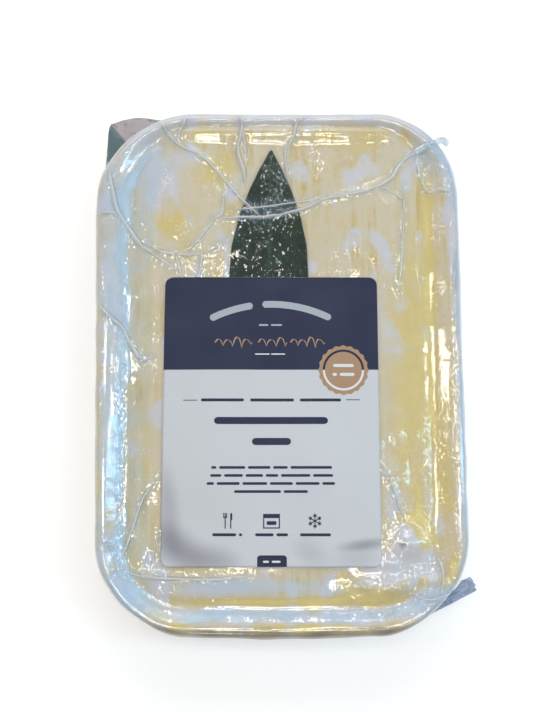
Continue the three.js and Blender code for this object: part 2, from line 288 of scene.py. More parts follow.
def pastry_relief(x, y, fine=1.0):
    """The lid's own unevenness: soft lumps, the marks of rolling along the pie, and the scraps of dough. Fine
    is how much of the small marks shows."""
    marks = 0.1 * grain(x, y, 5.0, 2) + 0.08 * grain(x, y / 6, 4.0, 4)
    relief = 0.24 * grain(x, y, 16.0, 1) + fine * marks
    for route, width, height in DOUGH_RIDGES:
        away, share = route_distance(x, y, route)
        body = np.sin(math.pi * np.clip(share, 0.04, 0.96)) ** 0.5
        relief = relief + height * body * np.exp(-((away / width) ** 2))
    return relief * smooth(-1, 6, inwards(x, y)[0])


# ------------------------------------------------------------------ meshes


def grid_faces(index):
    """The four-sided faces of a grid of point numbers, seen from above."""
    return np.stack([index[:-1, :-1], index[:-1, 1:], index[1:, 1:], index[1:, :-1]], -1).reshape(-1, 4)


class Wrap:
    """A skin over the whole pie: a grid inside the crest line, then rings that go down and under."""

    def __init__(self, cell):
        columns, rows = 2 * round(CREST_X / cell), 2 * round(CREST_Y / cell)
        u, v = np.meshgrid(np.linspace(-1, 1, columns + 1), np.linspace(-1, 1, rows + 1))
        scale = np.maximum(np.abs(u), np.abs(v))
        bu, bv = u / np.where(scale > 0, scale, 1), v / np.where(scale > 0, scale, 1)
        near = 1 - 1e-9
        along = np.select(
            [bu >= near, bv >= near, bu <= -near],
            [(1 + bv) / 2, 1 + (1 - bu) / 2, 2 + (1 - bv) / 2],
            3 + (1 + bu) / 2,
        )
        x, y, _, _ = outline_at(along, CREST_X, CREST_Y, CREST_CORNER)
        x, y = x * scale, y * scale
        distance, out_x, out_y = inwards_even(x, y)
        shift = crest_shift(x, y, distance, out_x, out_y)
        self.x, self.y = x + out_x * shift, y + out_y * shift
        index = np.arange(u.size).reshape(u.shape)
        self.faces = grid_faces(index)
        border = [index[:-1, -1], index[-1, :0:-1], index[:0:-1, 0], index[0, :-1]]
        self.border = np.concatenate(border)
        self.along = along.ravel()[self.border]
        self.edge = outline_at(self.along, CREST_X, CREST_Y, CREST_CORNER)

    def rings(self, sections):
        """Points of each ring, from its offset outside the crest line and its height."""
        x, y, out_x, out_y = self.edge
        return [np.stack(np.broadcast_arrays(x + out_x * o, y + out_y * o, z), -1) for o, z in sections]

    def mesh(self, top, rings):
        """Points and faces of the closed skin with that top height and those rings."""
        count = len(self.border)
        base = top.size
        points = [np.stack([self.x, self.y, top], -1).reshape(-1, 3), *rings]
        levels = [self.border] + [base + k * count + np.arange(count) for k in range(len(rings))]
        faces = self.faces.tolist()
        for upper, lower in zip(levels, levels[1:]):
            quads = np.stack([upper, lower, np.roll(lower, -1), np.roll(upper, -1)], -1)
            faces += quads.tolist()
        last = rings[-1]
        middle = base + len(rings) * count
        points.append([[0, 0, last[:, 2].mean()]])
        faces += [[middle, int(b), int(a)] for a, b in zip(levels[-1], np.roll(levels[-1], -1))]
        return np.vstack(points), faces


def sheet_grid(along_count, across_count, place):
    """Points of a sheet from a function of two shares, both from 0 to 1, and its faces, seen from above."""
    s, t = np.meshgrid(np.linspace(0, 1, across_count + 1), np.linspace(0, 1, along_count + 1))
    points = np.stack(place(t, s), -1)
    index = np.arange(s.size).reshape(s.shape)
    return points, grid_faces(index)


def thick_sheet(along_count, across_count, place, thickness):
    """The same sheet with an underside and edges: a closed plate."""
    points, faces = sheet_grid(along_count, across_count, place)
    rows, columns = points.shape[:2]
    under = points - np.array([0, 0, 1.0]) * thickness
    index = np.arange(rows * columns).reshape(rows, columns)
    loop = np.concatenate([index[0, :-1], index[:-1, -1], index[-1, :0:-1], index[:0:-1, 0]])
    size = rows * columns
    rim = np.stack([loop, loop + size, np.roll(loop, -1) + size, np.roll(loop, -1)], -1)
    everything = [*faces.tolist(), *(faces[:, ::-1] + size).tolist(), *rim.tolist()]
    return np.vstack([points.reshape(-1, 3), under.reshape(-1, 3)]), everything


def tube(line, sections):
    """A closed tube along a line of points; each section is a ring of (across, up) offsets."""
    line = np.array(line, float)
    along = np.gradient(line, axis=0)
    along /= np.linalg.norm(along, axis=1)[:, None]
    across = np.stack([-along[:, 1], along[:, 0], np.zeros(len(line))], -1)
    across /= np.linalg.norm(across, axis=1)[:, None]
    up = np.cross(along, across)
    sides = len(sections[0])
    points, faces = [], []
    for k, section in enumerate(sections):
        for side, height in section:
            points.append(line[k] + across[k] * side + up[k] * height)
    for k in range(len(line) - 1):
        for i in range(sides):
            j = (i + 1) % sides
            faces.append([k * sides + i, k * sides + j, (k + 1) * sides + j, (k + 1) * sides + i])
    faces.append(list(range(sides))[::-1])
    faces.append([(len(line) - 1) * sides + i for i in range(sides)])
    return np.array(points), faces


def make_piece(name, points, faces, material, attributes=None, smooth_shade=True):
    """A piece from points in millimetres, with numbers for its material at each point."""
    mesh = bpy.data.meshes.new(name)
    mesh.from_pydata((np.asarray(points) * MM).tolist(), [], [list(map(int, face)) for face in faces])
    mesh.polygons.foreach_set("use_smooth", [smooth_shade] * len(mesh.polygons))
    for key, values in (attributes or {}).items():
        numbers = np.asarray(values, np.float32).ravel()
        mesh.attributes.new(key, "FLOAT", "POINT").data.foreach_set("value", numbers)
    mesh.materials.append(material)
    mesh.update()
    piece = bpy.data.objects.new(name, mesh)
    bpy.context.scene.collection.objects.link(piece)
    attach(piece, "root")
    return piece


def joined(parts):
    """Several (points, faces) as one."""
    points, faces, start = [], [], 0
    for part_points, part_faces in parts:
        points.append(np.asarray(part_points).reshape(-1, 3))
        faces += [[int(i) + start for i in face] for face in part_faces]
        start += len(points[-1])
    return np.vstack(points), faces


# ------------------------------------------------------------------ materials


def add_node(tree, kind, inputs=None, stops=None, **settings):
    """Adds a node: settings are its own, and inputs are values or other nodes' outputs, by socket."""
    new = tree.nodes.new(kind)
    for key, value in settings.items():
        setattr(new, key, value)
    for socket, value in (inputs or {}).items():
        if isinstance(value, bpy.types.NodeSocket):
            tree.links.new(value, new.inputs[socket])
        else:
            new.inputs[socket].default_value = value
    if stops:
        ramp = new.color_ramp
        while len(ramp.elements) < len(stops):
            ramp.elements.new(0.5)
        for element, (place, colour) in zip(ramp.elements, stops):
            element.position = place
            element.color = colour if isinstance(colour, tuple) else linear(colour)
    return new


def new_material(name):
    material = bpy.data.materials.new(name)
    material.use_nodes = True
    tree = material.node_tree
    tree.nodes.clear()
    output = tree.nodes.new("ShaderNodeOutputMaterial")
    return material, tree, output


def mix_colour(tree, share, first, second):
    """The output of a node that mixes two colours."""
    inputs = {0: share, 6: first, 7: second}
    return add_node(tree, "ShaderNodeMix", inputs, data_type="RGBA").outputs[2]


def raw_pastry():
    """Raw puff pastry brushed with egg: matt cream dough, satin and yellow where the wash lies."""
    material, tree, output = new_material("raw_pastry")
    place = add_node(tree, "ShaderNodeTexCoord").outputs["Object"]
    egg = add_node(tree, "ShaderNodeAttribute", attribute_name="egg").outputs["Fac"]
    bare_and_lit = add_node(tree, "ShaderNodeAttribute", attribute_name="bare_and_lit").outputs["Fac"]
    dark = add_node(tree, "ShaderNodeAttribute", attribute_name="dark").outputs["Fac"]
    # Brush strokes run along the pie and are about 3 mm apart.
    stretched = {"Vector": place, "Scale": (1 / 0.003, 1 / 0.045, 1 / 0.01)}
    long_way = add_node(tree, "ShaderNodeMapping", stretched)
    strokes = add_node(
        tree,
        "ShaderNodeTexNoise",
        {"Vector": long_way.outputs[0], "Scale": 1.0, "Detail": 4.0, "Roughness": 0.6},
    )
    stroke_colour = add_node(
        tree,
        "ShaderNodeValToRGB",
        {"Fac": strokes.outputs["Fac"]},
        stops=[(0.32, "#DBD4C2"), (0.46, "#D9CCA7"), (0.58, "#D3BE82"), (0.7, "#CBB062")],
    )
    # Patches of thicker and thinner wash, about 20 mm across.
    patches = add_node(
        tree, "ShaderNodeTexNoise", {"Vector": place, "Scale": 1 / 0.02, "Detail": 5.0, "Roughness": 0.62}
    )
    patch_share = add_node(tree, "ShaderNodeMapRange", {"Value": patches.outputs["Fac"], 1: 0.42, 2: 0.62})
    cream = mix_colour(tree, patch_share.outputs[0], linear("#D9CFB7"), stroke_colour.outputs[0])
    # Pools of wash end in soft drips, drawn by noise with lumps of 7 mm.
    drips = add_node(tree, "ShaderNodeTexNoise", {"Vector": place, "Scale": 1 / 0.007, "Detail": 4.0})
    pooled = add_node(tree, "ShaderNodeMath", {0: drips.outputs["Fac"], 1: -0.5}, operation="ADD")
    pooled = add_node(tree, "ShaderNodeMath", {0: pooled.outputs[0], 1: egg}, operation="ADD")
    thin_share = add_node(tree, "ShaderNodeMapRange", {"Value": pooled.outputs[0], 1: 0.05, 2: 0.5})
    thick_share = add_node(tree, "ShaderNodeMapRange", {"Value": pooled.outputs[0], 1: 0.6, 2: 1.15})
    thinly = mix_colour(tree, thin_share.outputs[0], cream, linear("#DCCA88"))
    washed = mix_colour(tree, thick_share.outputs[0], thinly, linear("#ECDA92"))
    # Bare dough, and the painted light on the back crest, have ragged edges, drawn by noise with lumps of 4
    # mm.
    ragged = add_node(
        tree, "ShaderNodeTexNoise", {"Vector": place, "Scale": 1 / 0.004, "Detail": 6.0, "Roughness": 0.7}
    )
    bare_edge = add_node(tree, "ShaderNodeMath", {0: ragged.outputs["Fac"], 1: bare_and_lit}, operation="ADD")
    bare_share = add_node(tree, "ShaderNodeMapRange", {"Value": bare_edge.outputs[0], 1: 0.75, 2: 1.3})
    dough_colour = mix_colour(tree, bare_share.outputs[0], washed, linear("#D5D5DA"))
    # Painted shade: where the attribute dark is set, on the edge's lower side and in the knob's hole, the
    # dough is painted darker.
    colour = mix_colour(tree, dark, dough_colour, linear("#7A7468"))
    # Fine dough grain, about 0.8 mm.
    dough = add_node(tree, "ShaderNodeTexNoise", {"Vector": place, "Scale": 1 / 0.0008, "Detail": 3.0})
    marks = {0: strokes.outputs["Fac"], 1: dough.outputs["Fac"]}
    height = add_node(tree, "ShaderNodeMath", marks, operation="ADD")
    relief = {"Height": height.outputs[0], "Strength": 0.25, "Distance": 0.0004}
    bump = add_node(tree, "ShaderNodeBump", relief)
    rough = add_node(tree, "ShaderNodeMapRange", {"Value": egg, 3: 0.6, 4: 0.35})
    skin = add_node(
        tree,
        "ShaderNodeBsdfPrincipled",
        {
            "Base Color": colour,
            "Roughness": rough.outputs[0],
            "Normal": bump.outputs[0],
            "IOR": 1.45,
            "Subsurface Weight": 0.1,
            "Subsurface Radius": (1.0, 0.85, 0.65),
            "Subsurface Scale": 0.002,
        },
    )
    tree.links.new(skin.outputs[0], output.inputs[0])
    return material


def clear_film(name, haze, layers=1.0, crinkle=0.05, roughness=0.07, haze_and_sheen_colour="#C4E6FF"):
    """Clear polyolefin shrink film, drawn tight by heat: it mirrors like thin glass, and its crinkles glint.

    Haze is the share of white that folded film shows, and layers is how many films lie on each other. Where
    the mesh has the attribute crinkle, the film is crumpled that much more. Where it has its haze attribute,
    the
    film is painted milky in its haze colour: partly haze, partly painted reflection and painted light."""
    material, tree, output = new_material(name)
    place = add_node(tree, "ShaderNodeTexCoord").outputs["Object"]
    crumpled = add_node(tree, "ShaderNodeAttribute", attribute_name="crinkle").outputs["Fac"]
    haze_and_sheen = add_node(tree, "ShaderNodeAttribute", attribute_name="haze_and_sheen").outputs["Fac"]
    # Crumpled film lies in flat facets of about 0.6 by 0.9 mm, each tilted its own way, and has ripples of
    # about 1.2 mm.
    facet = {"Vector": place, "Scale": (1 / 0.0006, 1 / 0.0009, 1 / 0.0008)}
    cells = add_node(tree, "ShaderNodeMapping", facet)
    facets = add_node(tree, "ShaderNodeTexVoronoi", {"Vector": cells.outputs[0], "Scale": 1.0})
    across = {0: cells.outputs[0], 1: facets.outputs["Position"]}
    across = add_node(tree, "ShaderNodeVectorMath", across, operation="SUBTRACT")
    tilt = {0: facets.outputs["Color"], 1: (0.5, 0.5, 0.5)}
    tilt = add_node(tree, "ShaderNodeVectorMath", tilt, operation="SUBTRACT")
    planes = {0: across.outputs[0], 1: tilt.outputs[0]}
    planes = add_node(tree, "ShaderNodeVectorMath", planes, operation="DOT_PRODUCT")
    raised_planes = {0: planes.outputs["Value"], 1: crumpled}
    raised_planes = add_node(tree, "ShaderNodeMath", raised_planes, operation="MULTIPLY")
    ripples = add_node(tree, "ShaderNodeTexNoise", {"Vector": place, "Scale": 1 / 0.0012, "Detail": 2.0})
    raised = {0: ripples.outputs["Fac"], 1: crinkle, 2: raised_planes.outputs[0]}
    raised = add_node(tree, "ShaderNodeMath", raised, operation="MULTIPLY_ADD")
    relief = {"Height": raised.outputs[0], "Strength": 1.0, "Distance": 0.00042}
    bump = add_node(tree, "ShaderNodeBump", relief)
    through = add_node(tree, "ShaderNodeBsdfTransparent", {"Color": linear("#FFFFFF")})
    white = add_node(tree, "ShaderNodeBsdfDiffuse", {"Color": linear(haze_and_sheen_colour), "Normal": bump.outputs[0]})
    share = add_node(tree, "ShaderNodeMath", {0: haze_and_sheen, 1: haze}, operation="ADD", use_clamp=True)
    clear_or_white = {0: share.outputs[0], 1: through.outputs[0], 2: white.outputs[0]}
    body = add_node(tree, "ShaderNodeMixShader", clear_or_white)
    mirror = add_node(
        tree,
        "ShaderNodeBsdfGlossy",
        {"Color": linear("#FFFFFF"), "Roughness": roughness, "Normal": bump.outputs[0]},
    )
    # Both faces of each film mirror, so one film mirrors about twice as much as one face of glass.
    fresnel = add_node(tree, "ShaderNodeFresnel", {"IOR": 1.5, "Normal": bump.outputs[0]})
    both = {0: fresnel.outputs[0], 1: 1.9 * layers}
    both = add_node(tree, "ShaderNodeMath", both, operation="MULTIPLY", use_clamp=True)
    # Shrunk film is never flat enough to mirror fully at a grazing angle.
    at_most = {0: both.outputs[0], 1: GRAZING_MIRROR}
    both = add_node(tree, "ShaderNodeMath", at_most, operation="MINIMUM")
    body_or_mirror = {0: both.outputs[0], 1: body.outputs[0], 2: mirror.outputs[0]}
    surface = add_node(tree, "ShaderNodeMixShader", body_or_mirror)
    tree.links.new(surface.outputs[0], output.inputs[0])
    return material


def tray_foil():
    """Smooth-wall aluminium foil, pressed cold: bright, with soft drawing marks that run up the wall."""
    material, tree, output = new_material("tray_foil")
    place = add_node(tree, "ShaderNodeTexCoord").outputs["Object"]
    stretched = {"Vector": place, "Scale": (1 / 0.002, 1 / 0.002, 1 / 0.03)}
    upright = add_node(tree, "ShaderNodeMapping", stretched)
    drawing = {"Vector": upright.outputs[0], "Scale": 1.0, "Detail": 3.0}
    marks = add_node(tree, "ShaderNodeTexNoise", drawing)
    relief = {"Height": marks.outputs["Fac"], "Strength": 0.35, "Distance": 0.0003}
    bump = add_node(tree, "ShaderNodeBump", relief)
    rough = add_node(tree, "ShaderNodeMapRange", {"Value": marks.outputs["Fac"], 3: 0.22, 4: 0.42})
    metal = add_node(
        tree,
        "ShaderNodeBsdfPrincipled",
        {
            "Base Color": linear("#D6D8DA"),
            "Metallic": 1.0,
            "Roughness": rough.outputs[0],
            "Normal": bump.outputs[0],
        },
    )
    tree.links.new(metal.outputs[0], output.inputs[0])
    return material


def bay_leaf():
    """A fresh bay leaf, waxy: dark blue-green, with a paler midrib and a fine net of veins."""
    material, tree, output = new_material("bay_leaf")
    place = add_node(tree, "ShaderNodeTexCoord").outputs["Object"]
    vein = add_node(tree, "ShaderNodeAttribute", attribute_name="vein").outputs["Fac"]
    mottle = add_node(tree, "ShaderNodeTexNoise", {"Vector": place, "Scale": 1 / 0.006, "Detail": 5.0})
    green = add_node(
        tree,
        "ShaderNodeValToRGB",
        {"Fac": mottle.outputs["Fac"]},
        stops=[(0.3, "#0D261D"), (0.55, "#133026"), (0.75, "#1A3D2F")],
    )
    colour = mix_colour(tree, vein, green.outputs[0], linear("#2B4A3A"))
    fine_veins = {"Vector": place, "Scale": 1 / 0.0012}
    net = add_node(tree, "ShaderNodeTexVoronoi", fine_veins, feature="DISTANCE_TO_EDGE")
    relief = {"Height": net.outputs["Distance"], "Strength": 0.5, "Distance": 0.0003}
    bump = add_node(tree, "ShaderNodeBump", relief)
    # The film that clings to the leaf wets it, so its own sheen is faint.
    skin = add_node(
        tree,
        "ShaderNodeBsdfPrincipled",
        {
            "Base Color": colour,
            "Roughness": 0.6,
            "IOR": 1.45,
            "Specular IOR Level": 0.15,
            "Normal": bump.outputs[0],
        },
    )
    tree.links.new(skin.outputs[0], output.inputs[0])
    return material


def printed_paper(name, hex_colour, roughness=0.5, sheen=0.4):
    """Coated label paper with a satin varnish: an even colour that the paper's tooth barely breaks. Where the
    mesh has the attribute shade, the paper dips between two soft folds and is painted darker there, as
    painted shade."""
    material, tree, output = new_material(name)
    place = add_node(tree, "ShaderNodeTexCoord").outputs["Object"]
    tooth = add_node(tree, "ShaderNodeTexNoise", {"Vector": place, "Scale": 1 / 0.0006, "Detail": 4.0})
    cloud = add_node(tree, "ShaderNodeTexNoise", {"Vector": place, "Scale": 1 / 0.025, "Detail": 3.0})
    shade = add_node(tree, "ShaderNodeMapRange", {"Value": cloud.outputs["Fac"], 3: 0.0, 4: 0.1})
    clouded = mix_colour(tree, shade.outputs[0], linear(hex_colour), linear("#9A9AA0"))
    # Painted shade: the paper's colour is darkened where the attribute shade is set.
    painted_dip_shade = add_node(tree, "ShaderNodeAttribute", attribute_name="shade").outputs["Fac"]
    colour = mix_colour(tree, painted_dip_shade, clouded, linear("#74757F"))
    relief = {"Height": tooth.outputs["Fac"], "Strength": 0.12, "Distance": 0.0001}
    bump = add_node(tree, "ShaderNodeBump", relief)
    paper = add_node(
        tree,
        "ShaderNodeBsdfPrincipled",
        {
            "Base Color": colour,
            "Roughness": roughness,
            "IOR": 1.5,
            "Specular IOR Level": sheen,
            "Normal": bump.outputs[0],
        },
    )
    tree.links.new(paper.outputs[0], output.inputs[0])
    return material


# ------------------------------------------------------------------ where egg wash and bare dough lie

# Pools of egg wash: middle, radii, turn and strength.
EGG_POOLS = [
    ((18.0, -101.0), (26.0, 1.4), 0.02, 1.1),
    ((-20.0, -101.6), (18.0, 1.2), 0.0, 0.8),
    ((37.0, -98.6), (10.0, 2.4), 0.05, 1.3),
    ((61.5, -71.0), (3.6, 7.5), 0.35, 1.3),
    ((54.0, -66.5), (5.0, 2.0), -0.3, 0.9),
    ((26.0, -92.0), (2.5, 6.0), 0.7, 0.7),
    ((69.0, -93.0), (4.0, 2.5), 0.7, 1.1),
    ((74.0, -88.0), (1.6, 6.0), 0.0, 0.9),
    ((14.7, -105.4), (4.0, 3.0), 0.3, 0.8),
    ((12.5, -112.0), (18.0, 2.5), 0.0, 0.45),
    ((-47.8, -109.5), (12.0, 4.0), -0.3, 0.5),
    ((-1.1, -112.4), (14.0, 2.4), 0.0, 0.4),
    ((-64.0, -84.0), (3.0, 14.0), 0.35, 0.4),
    ((59.5, -61.0), (1.6, 12.0), 0.0, 0.6),
    ((-30.5, 93.0), (9.0, 8.0), 0.2, 0.55),
    ((-48.5, 66.0), (10.0, 7.0), 0.1, 0.5),
    ((-34.0, 110.0), (14.0, 3.0), 0.0, 0.35),
    ((30.0, 107.0), (22.0, 5.0), 0.0, 0.4),
    ((57.5, 0.0), (8.0, 56.0), 0.0, 0.6),
    ((66.0, 20.0), (2.5, 60.0), 0.0, 0.45),
    ((72.0, -40.0), (2.5, 34.0), 0.0, 0.45),
    ((-60.0, -98.0), (16.0, 3.0), -0.785, 0.6),
    ((-80.5, -50.0), (1.5, 34.0), 0.0, 0.7),
    ((-80.5, 28.0), (1.2, 16.0), 0.0, 0.5),
    ((-61.0, 0.0), (2.0, 60.0), 0.0, 0.3),
    ((-76.5, -62.0), (2.0, 14.0), 0.3, 0.35),
]
# Bare dough and trapped air, pale and slightly lilac.
BARE_PATCHES = [
    ((50.5, 14.5), (3.5, 9.0), 0.0, 0.7),
    ((55.5, 8.5), (6.0, 4.0), 0.2, 0.7),
    ((45.0, 20.0), (3.0, 22.0), 0.0, 0.5),
    ((47.5, 50.0), (3.0, 12.0), 0.35, 0.8),
    ((42.5, 59.0), (8.0, 3.0), -0.8, 0.6),
    ((31.0, 88.0), (4.0, 7.0), 0.3, 0.8),
    ((54.5, -74.0), (6.5, 8.5), 0.3, 1.0),
    ((46.0, -88.0), (14.0, 8.0), 0.1, 1.0),
    ((62.5, -101.0), (9.0, 5.0), 0.5, 1.0),
    ((-28.5, -95.5), (20.0, 4.0), 0.05, 0.9),
    ((8.0, -95.5), (22.0, 3.0), 0.0, 0.6),
    ((-63.0, -98.0), (12.0, 8.0), -0.8, 0.9),
    ((-55.0, 91.5), (12.0, 14.0), 0.6, 0.7),
    ((-61.0, 73.5), (6.0, 16.0), -0.2, 0.6),
    ((-36.5, 99.5), (12.0, 4.0), 0.1, 0.6),
    ((-22.0, 84.0), (4.0, 6.0), 0.0, 0.5),
    ((12.0, 47.0), (4.0, 3.0), 0.0, 0.8),
    ((62.0, 98.0), (9.0, 8.0), -0.7, 0.6),
    ((76.0, 58.0), (2.0, 26.0), 0.0, 0.7),
    ((-53.0, -20.0), (2.0, 50.0), 0.0, 0.35),
]
# Bands along the pie's edge: the side's direction, the band's distances inside the crest line, and strength.
EGG_BANDS = [
    ((0, -1), (10.5, 13.0), 0.45),
    ((1, 0), (8.5, 13.0), 0.4),
]
# Pale bare dough along the edge; along the back crest it is also painted light, which lightens a steep slope
# that lies in shade.
BARE_AND_LIT_BANDS = [
    ((0, -1), (3.0, 10.0), 1.0),
    ((0, -1), (-9.0, 3.0), 0.35),
    ((-1, 0), (-9.0, 9.0), 0.75),
    ((0, 1), (-9.0, 1.5), 1.0),
    ((0, 1), (1.5, 4.5), 0.4),
    ((1, 0), (-9.0, 1.5), 0.8),
]
# The edge's lower side, painted darker than the light alone would leave it.
DARK_BANDS = [
    ((0, -1), (-12.0, 0.5), 0.8),
    ((1, 0), (-12.0, -0.5), 0.35),
]
# Milky bands of the film along the edge, which also stand in for broad pale reflections.
HAZE_AND_SHEEN_BANDS = [
    ((0, -1), (4.5, 9.5), 0.42),
    ((-1, 0), (-2.0, 4.0), 0.25),
    ((-1, 0), (4.5, 10.0), 0.5),
    ((-1, 0), (7.0, 9.5), 0.3),
    ((-1, 0), (10.0, 20.0), 0.2),
    ((1, 0), (-9.0, 0.0), 0.35),
    ]


def painted(x, y, spots):
    return np.clip(sum(strength * hill(x, y, m, r, turn) for m, r, turn, strength in spots), 0, 1)


def banded(x, y, bands, seed):
    """Bands along the edge, each with uneven sides and broken up into patches of about 9 mm."""
    distance, out_x, out_y = inwards(x, y)
    distance = distance + 1.3 * grain(x, y, 12.0, seed + 40)
    total = 0
    for (to_x, to_y), (low, high), strength in bands:
        facing = np.clip(out_x * to_x + out_y * to_y, 0, None) ** 2
        band = smooth(low - 1.2, low + 1.2, distance) * (1 - smooth(high - 1.2, high + 1.2, distance))
        total = total + strength * facing * band
    return total * (0.8 + 0.3 * grain(x, y, 9.0, seed))


# ------------------------------------------------------------------ creases of the film

# Clusters of crumpled film that glint: middle, radii, turn and strength.
CRUMPLES = [
    ((-53.0, 84.5), (3.5, 8.0), 0.0, 1.0),
    ((-61.5, 66.0), (2.5, 2.5), 0.0, 0.9),
    ((-43.5, 62.0), (5.0, 5.5), 0.3, 1.0),
    ((-67.5, 74.5), (1.6, 6.0), 0.1, 0.8),
    ((-81.0, 62.5), (1.2, 7.0), 0.0, 0.8),
    ((-32.5, 81.5), (3.2, 4.2), 0.0, 0.9),
    ((-30.5, 44.0), (4.6, 3.2), 0.0, 1.0),
    ((-5.0, 86.0), (6.0, 12.0), 0.0, 0.9),
    ((-6.0, 67.5), (9.0, 8.0), 0.0, 1.0),
    ((-8.0, 51.0), (10.0, 9.0), 0.2, 0.9),
    ((16.5, 94.0), (3.2, 8.0), 0.1, 0.9),
    ((24.0, 51.5), (1.4, 2.2), 0.0, 0.8),
    ((32.0, 54.0), (4.5, 3.0), 0.0, 0.9),
    ((46.5, 78.0), (5.5, 2.4), 0.2, 0.8),
    ((61.0, 50.0), (1.2, 9.0), 0.0, 0.8),
    ((72.5, 67.0), (1.0, 9.0), 0.0, 1.0),
    ((69.5, 63.0), (1.0, 11.0), 0.0, 0.8),
    ((63.5, -49.0), (1.2, 26.0), 0.0, 0.6),
    ((70.0, -49.0), (1.2, 30.0), 0.0, 0.6),
    ((60.5, -92.5), (11.0, 9.0), 0.4, 0.8),
    ((47.5, -76.0), (10.0, 8.0), 0.0, 0.25),
    ((-57.5, -92.5), (14.0, 5.0), -0.5, 0.5),
    ((70.5, 92.5), (7.0, 8.0), 0.7, 0.8),
    ((0.0, 40.0), (5.0, 10.0), 0.0, 0.6),
    ((-15.0, 60.0), (5.0, 12.0), 0.1, 0.7),
    ((-71.0, -10.0), (1.4, 60.0), 0.0, 0.7),
    ((-80.5, -10.0), (0.8, 60.0), 0.0, 0.6),
    ((-57.0, 20.0), (1.2, 30.0), 0.0, 0.5),
    ((77.0, 20.0), (0.9, 46.0), 0.0, 0.7),
    ((75.0, -50.0), (0.9, 40.0), 0.0, 0.6),
    ((33.0, -106.5), (16.0, 1.6), 0.0, 0.9),
    ((-30.0, -101.0), (12.0, 1.6), 0.0, 0.6),
    ((40.0, -96.0), (14.0, 4.0), 0.1, 0.6),
]
# Where the film is painted milky: partly haze, from breath under it and from layers that lie double, and
# partly painted reflection and painted light, which also lighten the shaded crease at the front.
HAZE_AND_SHEEN_PATCHES = [
    ((-62.0, 90.0), (10.0, 16.0), -0.4, 0.1),
    ((-66.0, -99.0), (9.0, 5.0), -0.8, 0.4),
    ((-10.0, -95.0), (42.0, 4.0), 0.0, 0.2),
    ((66.0, -100.0), (9.0, 4.0), 0.6, 0.35),
    ((70.0, 98.0), (8.0, 8.0), -0.8, 0.25),
]

# The shares of a fold's width and height that its pinched ridge takes.
FOLD_SLIMNESS = 0.52
FOLD_RISE = 0.8
# Each fold's route over the top of the pie, its width and its height.
FOLDS = [
    ([(-60.5, 117.5), (-55.0, 112.5), (-48.0, 104.5), (-35.5, 97.5), (-19.0, 78.5), (-10.0, 70.0)], 1.9, 1.0),
    ([(-44.0, 117.0), (-47.5, 111.0), (-48.0, 106.0)], 2.0, 0.9),
    ([(-20.0, 117.5), (-18.5, 113.0), (-20.5, 102.0), (-17.5, 91.0), (-17.5, 85.5)], 2.4, 1.1),
    ([(-18.5, 111.0), (-17.5, 105.5), (-16.5, 98.5)], 1.6, 0.7),
    ([(12.0, 117.5), (7.0, 114.5), (5.0, 106.5), (1.5, 102.0), (2.0, 94.5), (3.0, 86.5)], 1.8, 0.8),
    (
        [
            (-31.5, 69.0), (-19.0, 69.3), (-5.5, 69.8), (9.6, 73.2), (20.0, 78.0), (36.5, 81.5),
            (43.5, 84.0), (50.0, 88.0), (55.0, 95.5), (60.0, 99.5), (67.5, 101.5),
        ],
        2.0,
        1.1,
    ),
    ([(-21.5, 72.8), (-14.0, 73.6), (-5.5, 74.8), (9.6, 77.0), (18.0, 78.2)], 1.2, 0.5),
    (
        [
            (-79.5, 94.5), (-79.5, 90.5), (-77.5, 81.5), (-75.0, 72.0),
            (-67.5, 60.5), (-63.5, 55.5), (-58.0, 51.5),
        ],
        2.4,
        1.1,
    ),
    ([(-63.5, 55.5), (-58.0, 51.5), (-50.5, 46.5), (-48.0, 44.0)], 1.6, 0.7),
    ([(-83.0, 70.5), (-79.0, 71.0), (-75.5, 70.5)], 1.6, 0.8),
    ([(-63.0, 58.0), (-55.5, 53.5), (-48.5, 52.0), (-42.5, 51.5), (-36.5, 52.0)], 1.7, 0.9),
    ([(-48.5, 52.5), (-47.0, 47.0), (-45.0, 39.5)], 1.8, 0.9),
    ([(-36.5, 52.0), (-37.0, 47.0), (-38.0, 39.5)], 1.8, 0.9),
    ([(-35.5, 52.0), (-28.5, 56.0), (-22.5, 62.0)], 1.0, 0.4),
    ([(-42.5, 53.5), (-37.5, 59.5), (-32.0, 67.0)], 1.2, 0.5),
    ([(-32.0, 67.5), (-27.5, 71.5), (-26.5, 80.0)], 1.4, 0.6),
    ([(-82.0, 31.5), (-80.5, 26.0), (-72.0, 18.0), (-68.0, 11.0), (-62.5, 3.5), (-58.0, 4.5)], 2.2, 1.0),
    ([(-54.5, -49.5), (-60.5, -57.0), (-64.0, -67.5), (-68.0, -79.0), (-72.5, -89.5)], 1.7, 0.9),
    ([(-77.5, -76.0), (-73.0, -78.0), (-68.5, -81.0)], 1.5, 0.7),
    ([(-70.0, -87.5), (-60.0, -91.0), (-42.0, -92.0), (-27.0, -92.0), (-15.0, -91.0)], 1.6, 0.8),
    ([(-54.0, -72.5), (-55.5, -80.0), (-56.5, -85.5)], 1.4, 0.6),
    ([(42.5, -43.5), (47.0, -49.5), (50.0, -58.5), (52.5, -67.0)], 1.4, 0.7),
    ([(56.0, 85.0), (56.0, 74.0), (55.5, 65.0), (54.5, 53.0), (53.0, 39.5), (52.5, 34.5)], 1.4, 0.6),
    ([(62.5, 96.5), (64.0, 89.5), (67.0, 82.0), (72.0, 82.5), (77.0, 80.5)], 1.8, 0.8),
    ([(44.0, 84.0), (49.0, 82.5), (55.5, 78.0)], 1.3, 0.5),
    ([(55.0, -98.0), (62.5, -100.5), (72.0, -97.5)], 1.6, 0.7),
    ([(66.5, -81.5), (69.0, -89.0), (67.5, -97.5)], 1.6, 0.8),
]


